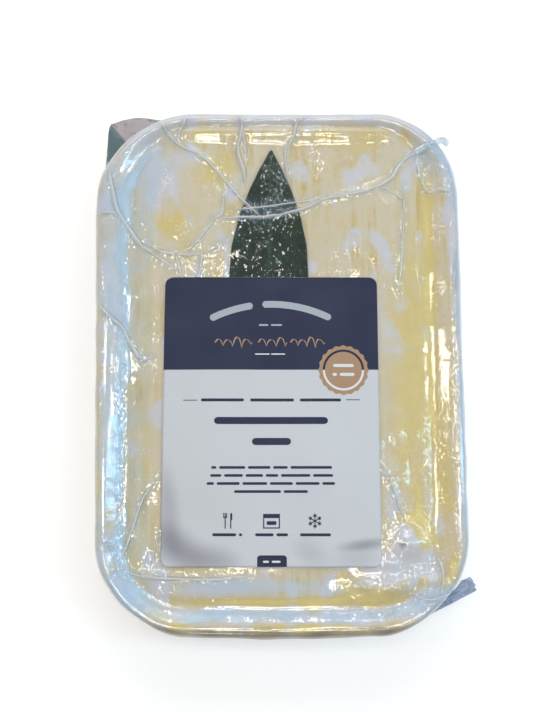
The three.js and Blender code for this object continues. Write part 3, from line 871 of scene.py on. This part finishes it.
# Dips between the label's soft folds: middle, radii, turn and strength. The last is a ridge. The dips are
# also painted darker on the paper, as painted shade.
LABEL_DIPS = [
    ((-46.0, -79.0), (15.0, 6.5), -0.65, 0.95),
    ((-28.0, -84.0), (9.0, 5.0), -0.3, 0.6),
    ((36.0, -77.5), (10.0, 2.0), 0.12, 0.75),
    ((33.0, -83.0), (9.0, 5.0), 0.2, 0.3),
    ((12.0, -81.0), (7.0, 4.5), -0.5, 0.3),
    ((-50.0, -60.0), (4.0, 14.0), 0.15, 0.5),
    ((-12.0, -75.0), (3.0, 9.0), 0.5, -0.3),
]


def label_dip(x, y):
    return sum(strength * hill(x, y, middle, radii, turn) for middle, radii, turn, strength in LABEL_DIPS)


def label_height(x, y):
    """Top of the label, which bridges the small hollows and bends over the larger rises."""
    waves = 0.3 * grain(x, y, 30.0, 30) + 0.1 * grain(x, y, 12.0, 31) - 0.5 * label_dip(x, y)
    return lid_height(x, y) + LABEL_LIFT + LABEL_THICKNESS + waves


def label_cover(x, y, grow):
    """1 under the label and 0 beside it."""
    beside = np.maximum(np.abs(x - LABEL_MIDDLE[0]) - LABEL_X, np.abs(y - LABEL_MIDDLE[1]) - LABEL_Y)
    return 1 - smooth(grow - 1, grow + 1, beside)


def film_height(x, y):
    """Height of the film over the pastry's top: it spans the hollows and is lifted beside each fold."""
    height = top_height(x, y, bridge=0.7) + pastry_relief(x, y, fine=0.3) + FILM_LIFT
    for route, width, lift in FOLDS:
        away, share = route_distance(x, y, route)
        body = 0.25 + 0.75 * np.sin(math.pi * share)
        height = height + 0.35 * lift * body * np.exp(-((away / width) ** 2))
    under_label = label_height(x, y) - LABEL_THICKNESS - 0.15
    return height + np.minimum(under_label - height, 0) * label_cover(x, y, grow=1.5)


def fold_strip(route, width, height):
    """One pinched fold of film: a low ridge that leans to one side and is milky on top, with thin ends. Its
    milky top is partly haze and partly a painted highlight.
    """
    line = curve_through(route, 0.8)
    x, y = line[:, 0], line[:, 1]
    distance = inwards(x, y)[0]
    base = np.where(distance > 0, film_height(x, y), side_height(distance))
    share = np.linspace(0, 1, len(line))
    body = np.minimum(1, 0.3 + 4.0 * np.minimum(share, 1 - share))
    wave = 1 + 0.35 * grain(x, y, 5.0, 3)
    profile = [
        (-1, -0.2), (-0.7, 0.1), (-0.4, 0.4), (-0.15, 0.8), (0, 1),
        (0.12, 0.72), (0.45, 0.22), (1, -0.2), (0, -0.35),
    ]
    sections, haze_and_sheen = [], []
    for k, taper in enumerate(body * wave):
        half = FOLD_SLIMNESS * width * taper
        lift = FOLD_RISE * height * taper
        jag = 0.25 * grain(x[k], y[k], 1.4, 33)
        sections.append([(q * half + (0.35 * half + jag) * max(0, v), v * lift) for q, v in profile])
        # The ridge's top is painted milkier: haze, and a painted highlight.
        haze_and_sheen += [-0.28 + 0.62 * max(0, v) for _, v in profile]
    points, faces = tube(np.stack([x, y, base], -1), sections)
    return points, faces, haze_and_sheen


def side_height(distance):
    """Height of the film on the outer side of the edge, by its distance inside the crest line (negative)."""
    share = np.clip(-distance / (EVEN_OVERHANG - CREST_OUT + 0.4), 0, 1)
    return EDGE_WIDEST + (CREST_HEIGHT - EDGE_WIDEST) * np.sqrt(1 - share**2) + FILM_LIFT


# ------------------------------------------------------------------ the pieces


def build_pastry():
    wrap = Wrap(cell=1.15)
    x, y = wrap.x, wrap.y
    hole = hill(x, y, KNOB_HOLE, (1.3, 0.8), -0.6)
    top = top_height(x, y) + pastry_relief(x, y) - 0.9 * leaf_mask(x, y, grow=0.8) - 1.2 * hole
    top = np.minimum(top, film_height(x, y) - 0.28)
    sections = []
    for k in range(1, 23):
        angle = math.pi * k / 22
        offset, height = edge_section(angle, wrap.edge)
        sections.append((offset + edge_lumps(wrap.edge[0], wrap.edge[1], angle), height))
    # Inside the tray the filling's own surface runs down the wall and across the base.
    inner = -CREST_OUT
    wall = inner - TRAY_FLANGE - WALL_GAP
    sections += [
        (inner + RIM_GAP, SKIRT_HEIGHT + 1.2),
        (inner + RIM_GAP, RIM_Z + RIM_GAP),
        (wall, RIM_Z + RIM_GAP),
        (wall - TRAY_LEAN, BASE_GAP + BASE_ROUND),
        (wall - TRAY_LEAN - BASE_ROUND, BASE_GAP),
    ]
    points, faces = wrap.mesh(top, wrap.rings(sections))
    at_x, at_y = points[:, 0], points[:, 1]
    distance, dir_x, dir_y = inwards(at_x, at_y)
    crease = np.exp(-(((distance - crease_in(dir_x, dir_y)) / 2.2) ** 2))
    egg = 0.15 * crease * (0.5 + 0.5 * grain(at_x, at_y, 18.0, 6)) + painted(at_x, at_y, EGG_POOLS)
    egg = egg + banded(at_x, at_y, EGG_BANDS, 7)
    scattered = 0.7 * smooth(0.25, 0.8, grain(at_x, at_y / 1.8, 9.0, 36))
    # Bare dough, and on the back crest painted light.
    bare_and_lit = painted(at_x, at_y, BARE_PATCHES) + banded(at_x, at_y, BARE_AND_LIT_BANDS, 8) + scattered
    bare_and_lit = np.clip(bare_and_lit, 0, 1) * (1 - 0.8 * np.clip(painted(at_x, at_y, EGG_POOLS), 0, 1))
    # The knob's hole is painted dark as well, as painted shade in the hollow.
    hole = hill(at_x, at_y, KNOB_HOLE, (1.4, 0.8), -0.6)
    dark = np.clip(0.9 * hole + banded(at_x, at_y, DARK_BANDS, 9), 0, 1)
    numbers = {"egg": np.clip(egg, 0, 1), "bare_and_lit": bare_and_lit, "dark": dark}
    piece = make_piece("pastry", points, faces, raw_pastry(), numbers)
    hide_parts("wrapped_pie")


def leaf_half_width(from_tip):
    return LEAF_HALF_WIDTH * np.sin(math.pi * np.clip(from_tip, 0, 1)) ** 0.93


def leaf_mask(x, y, grow):
    """1 over the leaf and 0 beside it."""
    away = LEAF_TIP[1] - y
    from_tip = away / LEAF_LENGTH
    side = np.abs(x - LEAF_TIP[0] - away * LEAF_TURN)
    inside = leaf_half_width(from_tip) + grow - side
    return smooth(-0.8, 0.8, inside) * (from_tip > -0.01) * (from_tip < 1.01)


def build_leaf():
    vein_pitch = 9.0

    def side_veins(away, side):
        """Veins leave the midrib at about 50 degrees and bend towards the tip."""
        phase = (away - 0.75 * side - 0.012 * side**2) / vein_pitch
        return np.exp(-(((phase - np.round(phase)) * vein_pitch / 0.45) ** 2))

    def place(t, s):
        from_tip = 0.002 + 0.996 * t
        away = from_tip * LEAF_LENGTH
        tooth = 0.45 * np.abs(np.sin(math.pi * away / 1.7)) + 0.25 * grain(away, 0 * away, 7.0, 9)
        across = 2 * s - 1
        half = leaf_half_width(from_tip) + tooth * np.abs(across) ** 16
        side = across * half
        x = LEAF_TIP[0] + away * LEAF_TURN + side
        y = LEAF_TIP[1] - away
        rib = np.exp(-((side / 0.7) ** 2))
        wave = 0.12 * grain(x, y, 8.0, 10)
        lift = LEAF_LIFT - 0.22 * rib + 0.1 * side_veins(away, np.abs(side)) + wave
        return x, y, np.minimum(lid_height(x, y) + pastry_relief(x, y) + lift, film_height(x, y) - 0.12)

    points, faces = thick_sheet(220, 44, place, LEAF_THICKNESS)
    away = LEAF_TIP[1] - points[:, 1]
    side = points[:, 0] - LEAF_TIP[0] - away * LEAF_TURN
    vein = np.exp(-((side / 0.6) ** 2)) + 0.35 * side_veins(away, np.abs(side))
    piece = make_piece("bay_leaf", points, faces, bay_leaf(), {"vein": np.clip(vein, 0, 1)})
    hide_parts("leaf")


def build_film():
    wrap = Wrap(cell=0.8)
    x, y = wrap.x, wrap.y
    edge_x, edge_y = wrap.edge[:2]
    wrinkle = 0.05 * grain(x, y, 7.0, 11) + 0.03 * grain(x, y / 4, 3.5, 12) + 0.02 * grain(x / 3, y, 3.0, 13)
    beside_label = 1 - label_cover(x, y, grow=1.5)
    top = film_height(x, y) + wrinkle * smooth(0, 5, inwards(x, y)[0]) * beside_label
    sections = []
    for k in range(1, 19):
        angle = math.pi * 0.78 * k / 18
        offset, height = edge_section(angle, wrap.edge)
        pleat = 0.12 * (1 + grain(edge_x, edge_y, 5.0, 14, z=3.5 * angle)) * math.sin(angle)
        lumps = edge_lumps(edge_x, edge_y, angle)
        offset = offset + lumps + FILM_LIFT * math.sin(angle) + pleat
        sections.append((offset, height + FILM_LIFT * math.cos(angle)))
    # Below the edge the film spans to the tray's wall and clings to it, gathered into pleats.
    inner = -CREST_OUT
    foot = inner - TRAY_FLANGE - TRAY_LEAN
    gather = grain(edge_x, edge_y, 3.2, 15)
    for share in (0.12, 0.25, 0.38, 0.5, 0.62, 0.74, 0.86, 0.96):
        wall = inner - TRAY_FLANGE - TRAY_LEAN * share
        slack = 2.6 * (1 - share) ** 2 + 0.45 + 0.5 * gather * (1 - 0.5 * share)
        slack += 0.3 * grain(edge_x, edge_y, 9.0, 16, z=30 * share)
        sections.append((wall + np.clip(slack, 0.25, None), SKIRT_HEIGHT * (1 - share) + 0.4))
    sections += [(foot - 0.8, -0.05), (foot - 2.5, -0.12), (foot - 12, -0.12)]
    points, faces = wrap.mesh(top, wrap.rings(sections))
    at_x, at_y = points[:, 0], points[:, 1]
    over_table = points[:, 2] > SKIRT_HEIGHT
    crumple = painted(at_x, at_y, CRUMPLES)
    halo = 0
    for route, _, _ in FOLDS:
        halo = np.maximum(halo, np.exp(-((route_distance(at_x, at_y, route)[0] / 2.4) ** 2)))
    crumple = crumple + 0.6 * halo
    # Towards the edges the film is gathered more, so its facets stand steeper.
    gathered = 0.9 + 1.0 * smooth(50, 105, np.hypot(at_x, at_y - 5))
    crumple = np.clip(crumple * (0.7 + 0.6 * grain(at_x, at_y, 4.0, 34)), 0, 1.2) * gathered + 0.05
    # Painted milkiness of the film, in patches, edge bands and beside the folds: haze, and painted reflection
    # and light.
    haze_and_sheen = painted(at_x, at_y, HAZE_AND_SHEEN_PATCHES) + banded(at_x, at_y, HAZE_AND_SHEEN_BANDS, 35) + 0.1 * halo
    numbers = {"crinkle": crumple * over_table, "haze_and_sheen": np.clip(haze_and_sheen, 0, 0.8) * over_table}
    piece = make_piece("film", points, faces, clear_film("clear_film", haze=0.0), numbers)


def build_folds():
    strips = [fold_strip(*fold) for fold in FOLDS]
    points, faces = joined([(strip[0], strip[1]) for strip in strips])
    haze_and_sheen = [value for strip in strips for value in strip[2]]
    crinkle = np.full(len(points), 0.4)
    # The folds' white is partly haze and partly a painted highlight, which stands in for their bright sheen.
    material = clear_film("film_fold", haze=0.34, layers=1.3, crinkle=0.2, roughness=0.16, haze_and_sheen_colour="#FAFDFF")
    piece = make_piece("film_folds", points, faces, material, {"haze_and_sheen": haze_and_sheen, "crinkle": crinkle})


def film_tail(name, route, half_widths, half_heights, pleats, twist, material):
    """A bunched corner of film: a flattened tube whose skin is pleated lengthways."""
    line = curve_through([(*point, w, h) for point, w, h in zip(route, half_widths, half_heights)], 0.4)
    sides = 64
    sections = []
    for k, (at_x, at_y, pz, wide, high) in enumerate(line):
        turned = twist * k / len(line)
        cos, sin = math.cos(turned), math.sin(turned)
        section = []
        for i in range(sides):
            angle = 2 * math.pi * i / sides
            crumple = noise.noise((at_x / 1.6, at_y / 1.6, 2.2 * math.cos(angle) + 7))
            crumple += noise.noise((at_x, at_y, 3 * angle))
            swell = 1 + 0.2 * math.cos(pleats * angle + 2 * turned) + 0.22 * crumple
            side, up = wide * swell * math.cos(angle), high * swell * math.sin(angle)
            section.append((side * cos - up * sin, side * sin + up * cos))
        sections.append(section)
    points, faces = tube(line[:, :3], sections)
    piece = make_piece(name, points, faces, material)


def build_corner_film():
    # The tail's pale blue-grey is partly haze of bunched film and partly painted reflection of the cool
    # light.
    film_tail(
        "tail_back_right",
        [(61, 99.5, 37.5), (65.6, 102, 37), (70.4, 104.6, 36), (74.4, 106.6, 35), (77.2, 104.8, 34)],
        [0.9, 1.6, 1.9, 1.9, 1.4],
        [0.5, 0.9, 1.2, 1.3, 1.0],
        6,
        3.0,
        clear_film("tail_film", haze=0.35, layers=2.5, crinkle=0.6, roughness=0.1, haze_and_sheen_colour="#C4D6E2"),
    )

    base_low, base_high = (65.0, -107.4), (78.5, -93.5)
    tip_low, tip_high = (85.2, -97.4), (82.6, -91.6)

    def flap(t, s):
        """The long corner at the front right: a crumpled flap of doubled film that narrows to its tip."""
        start_x = base_low[0] + (base_high[0] - base_low[0]) * s
        start_y = base_low[1] + (base_high[1] - base_low[1]) * s
        end_x = tip_low[0] + (tip_high[0] - tip_low[0]) * s
        end_y = tip_low[1] + (tip_high[1] - tip_low[1]) * s
        reach = t + 0.06 * grain(8 * s, 0 * s, 2.0, 22) * smooth(0.6, 1, t)
        x = start_x + (end_x - start_x) * reach
        y = start_y + (end_y - start_y) * reach
        pleat = np.sin(5.5 * math.pi * s + 1.5 * t)
        z = 26.5 + 0.5 * pleat * (1 - 0.4 * t) + 0.45 * grain(x, y, 2.6, 23) + 0.2 * grain(x, y, 1.2, 24)
        return x, y, z + 1.0 * np.sin(math.pi * s)

    points, faces = thick_sheet(64, 44, flap, 0.5)
    # The flap's slate blue-grey is partly haze of doubled film and partly painted reflection of the cool
    # light.
    material = clear_film("flap_film", haze=0.9, layers=1.5, crinkle=0.35, roughness=0.14, haze_and_sheen_colour="#90A4C2")
    make_piece("tail_front_right", points, faces, material)

    corner_x, corner_y = RIM_CORNER - RIM_X, RIM_Y - RIM_CORNER
    outer = curve_through(
        [
            (-58.0, 120.0), (-68.3, 121.0), (-77.0, 119.4), (-81.2, 117.0),
            (-82.2, 113.5), (-82.5, 106.0), (-83.2, 95.0),
        ],
        1.0,
    )

    def web_place(first, last):
        """Part of the web across the back left corner: its far edge is where its two layers meet."""

        def place(t, s):
            share = first + (last - first) * t
            angle = math.radians(97) + math.radians(78) * share
            reach = RIM_CORNER + 3.8 + 1.2 * np.sin(math.pi * share)
            from_x, from_y = corner_x + reach * np.cos(angle), corner_y + reach * np.sin(angle)
            far = share * (len(outer) - 1)
            far_x = np.interp(far, np.arange(len(outer)), outer[:, 0])
            far_y = np.interp(far, np.arange(len(outer)), outer[:, 1])
            x, y = from_x + (far_x - from_x) * s, from_y + (far_y - from_y) * s
            pinch = 1.2 * np.exp(-(((share - 0.5) / 0.03) ** 2)) * s
            crumple = 0.2 * grain(x, y, 4.0, 20) + 0.06 * grain(x, y, 1.6, 21)
            return x, y, RIM_Z + 1.5 - 3.8 * s**0.8 + pinch + crumple

        return place

    # The layer under the fold lies against the tray's shadow, so it is painted darker and greener than the
    # other;
    # both layers' dull colours are painted shade, which stands in for what shows through clear film.
    for name, first, last, haze_and_sheen_colour in (("back", 0.0, 0.5, "#8B7C78"), ("left", 0.5, 1.0, "#55737A")):
        points, faces = thick_sheet(60, 30, web_place(first, last), 0.5)
        material = clear_film(
            "web_film_" + name, haze=0.85, layers=1.5, crinkle=0.15, roughness=0.12, haze_and_sheen_colour=haze_and_sheen_colour
        )
        make_piece("web_" + name, points, faces, material)


# ------------------------------------------------------------------ label and print


def corner_inset(past, corner):
    """How far a round corner draws a side in, at a distance past the start of its bend."""
    return corner - np.sqrt(np.clip(corner**2 - np.clip(past, 0, None) ** 2, 0, None))


def rounded_place(middle, half_x, half_y, corner, height):
    """For sheet_grid: a rectangle with round corners."""

    def place(t, s):
        v, u = 2 * t - 1, 2 * s - 1
        y = v * half_y
        inset = corner_inset(np.abs(y) - half_y + corner, corner)
        x = u * (half_x - inset)
        x, y = x + middle[0], y + middle[1]
        return x, y, height(x, y)

    return place


def print_height(x, y):
    return label_height(x, y) + PRINT_LIFT


def second_print_height(x, y):
    return label_height(x, y) + 2 * PRINT_LIFT


def bar(x, y, width, height, turn=0.0, corner=0.0, lift=print_height):
    """A bar of ink at a place on the label, measured from the label's middle."""
    cos, sin = math.cos(turn), math.sin(turn)

    def place(t, s):
        v, u = (t - 0.5) * height, (s - 0.5) * width
        inset = 0
        if corner:
            inset = corner_inset(np.abs(v) - height / 2 + corner, corner)
        u = u * (width - 2 * inset) / width
        at_x, at_y = LABEL_MIDDLE[0] + x + u * cos - v * sin, LABEL_MIDDLE[1] + y + u * sin + v * cos
        return at_x, at_y, lift(at_x, at_y)

    rows = max(1, math.ceil(height / 1.5)) if not corner else 12
    points, faces = sheet_grid(rows, max(1, math.ceil(width / 2)), place)
    return points.reshape(-1, 3), faces


def ring(x, y, inner, outer, start=0.0, end=2 * math.pi, scallops=0, depth=0.0, lift=print_height):
    """A ring or disc of ink, or part of one; scallops wave its outer edge."""

    def place(t, s):
        angle = start + (end - start) * t
        edge = outer + depth * np.cos(scallops * angle)
        radius = inner + (edge - inner) * s
        at_x = LABEL_MIDDLE[0] + x + radius * np.cos(angle)
        at_y = LABEL_MIDDLE[1] + y + radius * np.sin(angle)
        return at_x, at_y, lift(at_x, at_y)

    points, faces = sheet_grid(max(24, round(96 * (end - start) / (2 * math.pi))), 5, place)
    return points.reshape(-1, 3), faces[:, ::-1]


def arc_word(middle_y, radius, start, end, thickness, lift):
    """A word of an arched line, as a plain band with round ends, between two places across the label."""
    first, last = math.asin(start / radius), math.asin(end / radius)

    def place(t, s):
        along = (last - first) * radius * t
        ends = np.minimum(along, (last - first) * radius - along)
        past = np.clip(thickness / 2 - ends, 0, None)
        half = np.sqrt(np.clip((thickness / 2) ** 2 - past**2, 1e-4, None))
        angle = first + (last - first) * t
        reach = radius + half * (1 - 2 * s)
        x = LABEL_MIDDLE[0] + reach * np.sin(angle)
        y = LABEL_MIDDLE[1] + middle_y + reach * np.cos(angle)
        return x, y, lift(x, y)

    points, faces = sheet_grid(48, 4, place)
    return points.reshape(-1, 3), faces


def flourish(start, end, middle_y, height, waves, thickness, lift):
    """A looping pen stroke, as one wavy line whose thickness swells on its way down."""

    def place(t, s):
        phase = 2 * math.pi * waves * t
        taper = np.sin(math.pi * np.clip(t, 0.02, 0.98)) ** 0.3
        swing = height / 2 * (0.75 + 0.25 * np.cos(phase / 2.5)) * taper
        half = thickness * (0.6 + 0.4 * np.sin(phase)) / 2
        x = LABEL_MIDDLE[0] + start + (end - start) * t - 0.5 * np.cos(phase) + half * (2 * s - 1)
        y = LABEL_MIDDLE[1] + middle_y + swing * np.sin(phase) + 0.35 * half * (1 - 2 * s)
        return x, y, lift(x, y)

    points, faces = sheet_grid(420, 1, place)
    return points.reshape(-1, 3), faces[:, ::-1]


def words(places, y, thickness, lift=print_height):
    """A line of words, as plain bars with round ends, from pairs of starts and ends."""
    return [bar((a + b) / 2, y, b - a, thickness, corner=thickness / 2, lift=lift) for a, b in places]


def build_label():
    place = rounded_place(LABEL_MIDDLE, LABEL_X, LABEL_Y, LABEL_CORNER, label_height)
    points, faces = thick_sheet(130, 96, place, LABEL_THICKNESS)
    # The paper is painted darker in its dips, as painted shade.
    shade = np.clip(label_dip(points[:, 0], points[:, 1]), 0, 1)
    paper = printed_paper("label_paper", "#CFD2D7")
    piece = make_piece("label", points, faces, paper, {"shade": 0.75 * shade})
    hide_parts("label")


def dark_panel(depth):
    """The dark panel at the head of the label, with the label's own round corners."""

    def place(t, s):
        y = LABEL_Y - depth + t * (depth - 0.05)
        inset = corner_inset(y - LABEL_Y + LABEL_CORNER, LABEL_CORNER)
        x = LABEL_MIDDLE[0] + (2 * s - 1) * (LABEL_X - inset - 0.05)
        return x, LABEL_MIDDLE[1] + y, print_height(x, LABEL_MIDDLE[1] + y)

    points, faces = sheet_grid(60, 60, place)
    return points.reshape(-1, 3), faces


def cutlery_mark(x, y):
    """A fork and a knife, each a plain stroke with its head."""
    fork, knife = x - 1.2, x + 1.2
    strokes = [bar(fork, y - 0.6, 0.5, 5.4), bar(fork, y + 1.5, 1.7, 0.5), bar(knife, y - 0.6, 0.5, 5.4)]
    strokes += [bar(fork + side, y + 2.5, 0.4, 1.8) for side in (-0.65, 0, 0.65)]
    return [*strokes, bar(knife + 0.2, y + 1.8, 0.9, 3.2, corner=0.4)]


def oven_mark(x, y):
    """An oven: a filled top, and a framed door with a shelf in it."""
    frame_bars = [bar(x + side * 3.4, y - 1.0, 0.5, 4.4) for side in (-1, 1)]
    top_and_foot = [bar(x, y + 2.1, 7.3, 1.8), bar(x, y - 3.0, 7.3, 0.5)]
    return [*top_and_foot, *frame_bars, bar(x, y - 0.9, 4.2, 1.6, corner=0.4)]


def frost_mark(x, y):
    """A six-armed frost star."""
    strokes = []
    for k in range(3):
        turn = math.pi / 6 + k * math.pi / 3
        strokes.append(bar(x, y, 6.4, 0.45, turn=turn))
        for side in (-1, 1):
            at_x, at_y = x + 2.2 * side * math.cos(turn), y + 2.2 * side * math.sin(turn)
            strokes += [bar(at_x, at_y, 1.7, 0.4, turn=turn + barb) for barb in (1.1, -1.1)]
    return strokes


def build_print():
    """Everything on the label is a field of colour or a plain bar: it has no lettering."""
    panel = 42.2
    arch = {"middle_y": -7.4, "radius": 58.9, "thickness": 3.1, "lift": second_print_height}
    navy, white, tan, grey = [dark_panel(panel)], [], [], []
    grey += [arc_word(start=-27.3, end=-8.1, **arch), arc_word(start=-4.0, end=26.9, **arch)]
    grey += words([(-5.4, -1.2), (0.0, 4.9)], 42.0, 0.8, lift=second_print_height)
    for start, end, waves in ((-24.5, -7.8, 4), (-5.2, 7.6, 3), (9.2, 24.6, 4)):
        tan.append(flourish(start, end, 34.0, 5.4, waves, 0.8, second_print_height))
    white += words([(-7.1, -0.6), (0.0, 6.3)], 28.8, 0.55, lift=second_print_height)

    navy += [bar(-35.7, 8.2, 6.2, 0.35), bar(36.3, 8.4, 6.2, 0.35)]
    navy += words([(-30.9, -11.9), (-9.2, 10.2), (12.8, 31.0)], 8.3, 1.3)
    navy += words([(-25.0, 25.1)], -0.8, 3.1)
    navy += words([(-8.3, 8.8)], -10.0, 3.1)
    paragraph = (
        [(-26.1, -23.8), (-22.6, -11.2), (-10.0, -0.2), (1.0, 7.4), (8.6, 26.7)],
        [(-26.5, -21.6), (-20.4, -12.2), (-11.0, -3.4), (-2.2, 3.2), (4.4, 17.2), (18.4, 27.1)],
        [(-28.0, -24.8), (-23.6, -13.6), (-12.4, -1.6), (-0.4, 9.6), (10.8, 21.2), (22.4, 27.9)],
        [(-16.0, 4.4), (5.6, 16.1)],
    )
    for line, places in enumerate(paragraph):
        navy += words(places, -21.3 - 3.47 * line, 1.15)
    icon_y, caption_y = -44.3, -50.2
    navy += [*cutlery_mark(-18.6, icon_y), *oven_mark(0.3, icon_y), *frost_mark(19.1, icon_y)]
    navy += words([(-25.4, -15.0), (-13.8, -12.4)], caption_y, 1.25)
    navy += words([(-6.8, 1.2), (2.4, 7.4)], caption_y, 1.25)
    navy += words([(12.6, 26.0)], caption_y, 1.25)

    # The tab at the foot: round at its top, and cut off by the label's edge.
    navy += [bar(0.5, -60.7, 12.8, 3.6, corner=1.3), bar(0.5, -62.3, 12.8, 3.0)]
    white += words([(-3.4, -0.8), (0.4, 4.2)], -61.6, 0.9, lift=second_print_height)

    # The seal: a scalloped disc with a ring left open, which shows the dark panel above and the paper below.
    seal_x, seal_y = 32.2, 21.7
    tan.append(ring(seal_x, seal_y, 0, 10.9, scallops=20, depth=0.3, lift=second_print_height))

    def ring_height(x, y):
        return label_height(x, y) + 3 * PRINT_LIFT

    navy.append(ring(seal_x, seal_y, 8.2, 9.2, start=0.0, end=math.pi, lift=ring_height))
    white.append(ring(seal_x, seal_y, 8.2, 9.2, start=math.pi, end=2 * math.pi, lift=ring_height))
    white += words([(seal_x - 4.6, seal_x + 4.6)], seal_y + 2.0, 1.4, lift=ring_height)
    lower_words = [(seal_x - 4.9, seal_x - 2.9), (seal_x - 1.7, seal_x + 4.9)]
    white += words(lower_words, seal_y - 2.0, 1.4, lift=ring_height)

    inks = (
        ("print_navy", navy, "#212947", "label_ink"),
        ("print_white", white, "#E6E6E8", "label_paper"),
        ("print_tan", tan, "#B08F70", "label_ink"),
        ("print_grey", grey, "#AEB6BE", "label_ink"),
    )
    for name, parts, colour, slot in inks:
        points, faces = joined(parts)
        piece = make_piece(name, points, faces, printed_paper(name, colour, roughness=0.55, sheen=0.2))


# ------------------------------------------------------------------ stage, light and camera


def build_stage():
    material, tree, output = new_material("pale_floor")
    place = add_node(tree, "ShaderNodeTexCoord").outputs["Object"]
    cloud = add_node(tree, "ShaderNodeTexNoise", {"Vector": place, "Scale": 1 / 0.2})
    colour = mix_colour(tree, cloud.outputs["Fac"], linear("#F4F4F4"), linear("#F0F0F0"))
    matt = add_node(tree, "ShaderNodeBsdfDiffuse", {"Color": colour})
    glow = add_node(tree, "ShaderNodeEmission", {"Color": linear("#FFFFFF"), "Strength": 0.3})
    lit = add_node(tree, "ShaderNodeAddShader", {0: matt.outputs[0], 1: glow.outputs[0]})
    tree.links.new(lit.outputs[0], output.inputs[0])
    size, height = 1.5, -0.0002
    mesh = bpy.data.meshes.new("floor")
    corners = [(-size, -size, height), (size, -size, height), (size, size, height), (-size, size, height)]
    mesh.from_pydata(corners, [], [(0, 1, 2, 3)])
    mesh.materials.append(material)
    floor = bpy.data.objects.new("floor", mesh)
    bpy.context.scene.collection.objects.link(floor)


def aim(thing, place, target):
    thing.location = place
    thing.rotation_euler = (Vector(target) - Vector(place)).to_track_quat("-Z", "Y").to_euler()
    bpy.context.scene.collection.objects.link(thing)


def build_light():
    world = bpy.data.worlds.new("studio")
    world.use_nodes = True
    sky = world.node_tree.nodes["Background"]
    sky.inputs["Color"].default_value = linear("#FFF6EC")
    sky.inputs["Strength"].default_value = 0.33
    bpy.context.scene.world = world
    pie = (0, 0, 0.03)
    # A large soft box stands on each side, and a narrow window at the right draws a cool streak.
    for name, place, size, power, colour in (
        ("box_right", (1.1, 0.0, 0.72), (1.0, 1.4), 2.1, "#EAF2FF"),
        ("box_left", (-1.1, 0.0, 0.72), (1.0, 1.4), 1.7, "#EAF2FF"),
        ("box_back", (0.0, 1.1, 0.72), (1.4, 1.0), 6.6, "#EAF2FF"),
        ("box_front", (0.0, -1.1, 0.72), (1.4, 1.0), 0.8, "#EAF2FF"),
        ("window_right", (0.66, 0.0, 0.78), (0.09, 0.9), 2.2, "#92D6FF"),
    ):
        light = bpy.data.lights.new(name, "AREA")
        light.shape = "RECTANGLE"
        light.size, light.size_y = size
        light.energy = power
        light.color = linear(colour)[:3]
        aim(bpy.data.objects.new(name, light), place, pie)
    # Small ceiling lamps make the film's crinkles glint. Seen from the camera, flat film would mirror them
    # under the label or past the pie.
    lamps = (
        (-0.08, 0.15, 1.0), (0.06, 0.17, 1.0), (-0.05, -0.03, 1.0), (0.06, -0.07, 1.0),
        (0.5, 0.1, 0.95), (-0.5, 0.15, 0.95), (0.05, 0.75, 0.95), (-0.1, -0.75, 0.95),
    )
    for k, place in enumerate(lamps):
        light = bpy.data.lights.new(f"lamp_{k}", "POINT")
        light.shadow_soft_size = 0.055
        light.energy = 1.8
        light.color = linear("#FFF8EA")[:3]
        aim(bpy.data.objects.new(f"lamp_{k}", light), place, pie)


def build_camera():
    camera = bpy.data.cameras.new("camera")
    camera.sensor_width = 36
    camera.lens = 45.1
    target = Vector((-3.2, 5.4, 33)) * MM
    elevation = math.radians(81)
    distance = 0.4
    place = target + Vector((0, -math.cos(elevation), math.sin(elevation))) * distance
    eye = bpy.data.objects.new("camera", camera)
    aim(eye, place, target)
    bpy.context.scene.camera = eye
    bpy.context.scene.view_settings.view_transform = "Standard"


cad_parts["tray"].data.materials.clear()
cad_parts["tray"].data.materials.append(tray_foil())
build_pastry()
build_leaf()
build_film()
build_folds()
build_corner_film()
build_label()
build_print()
build_stage()
build_light()
build_camera()
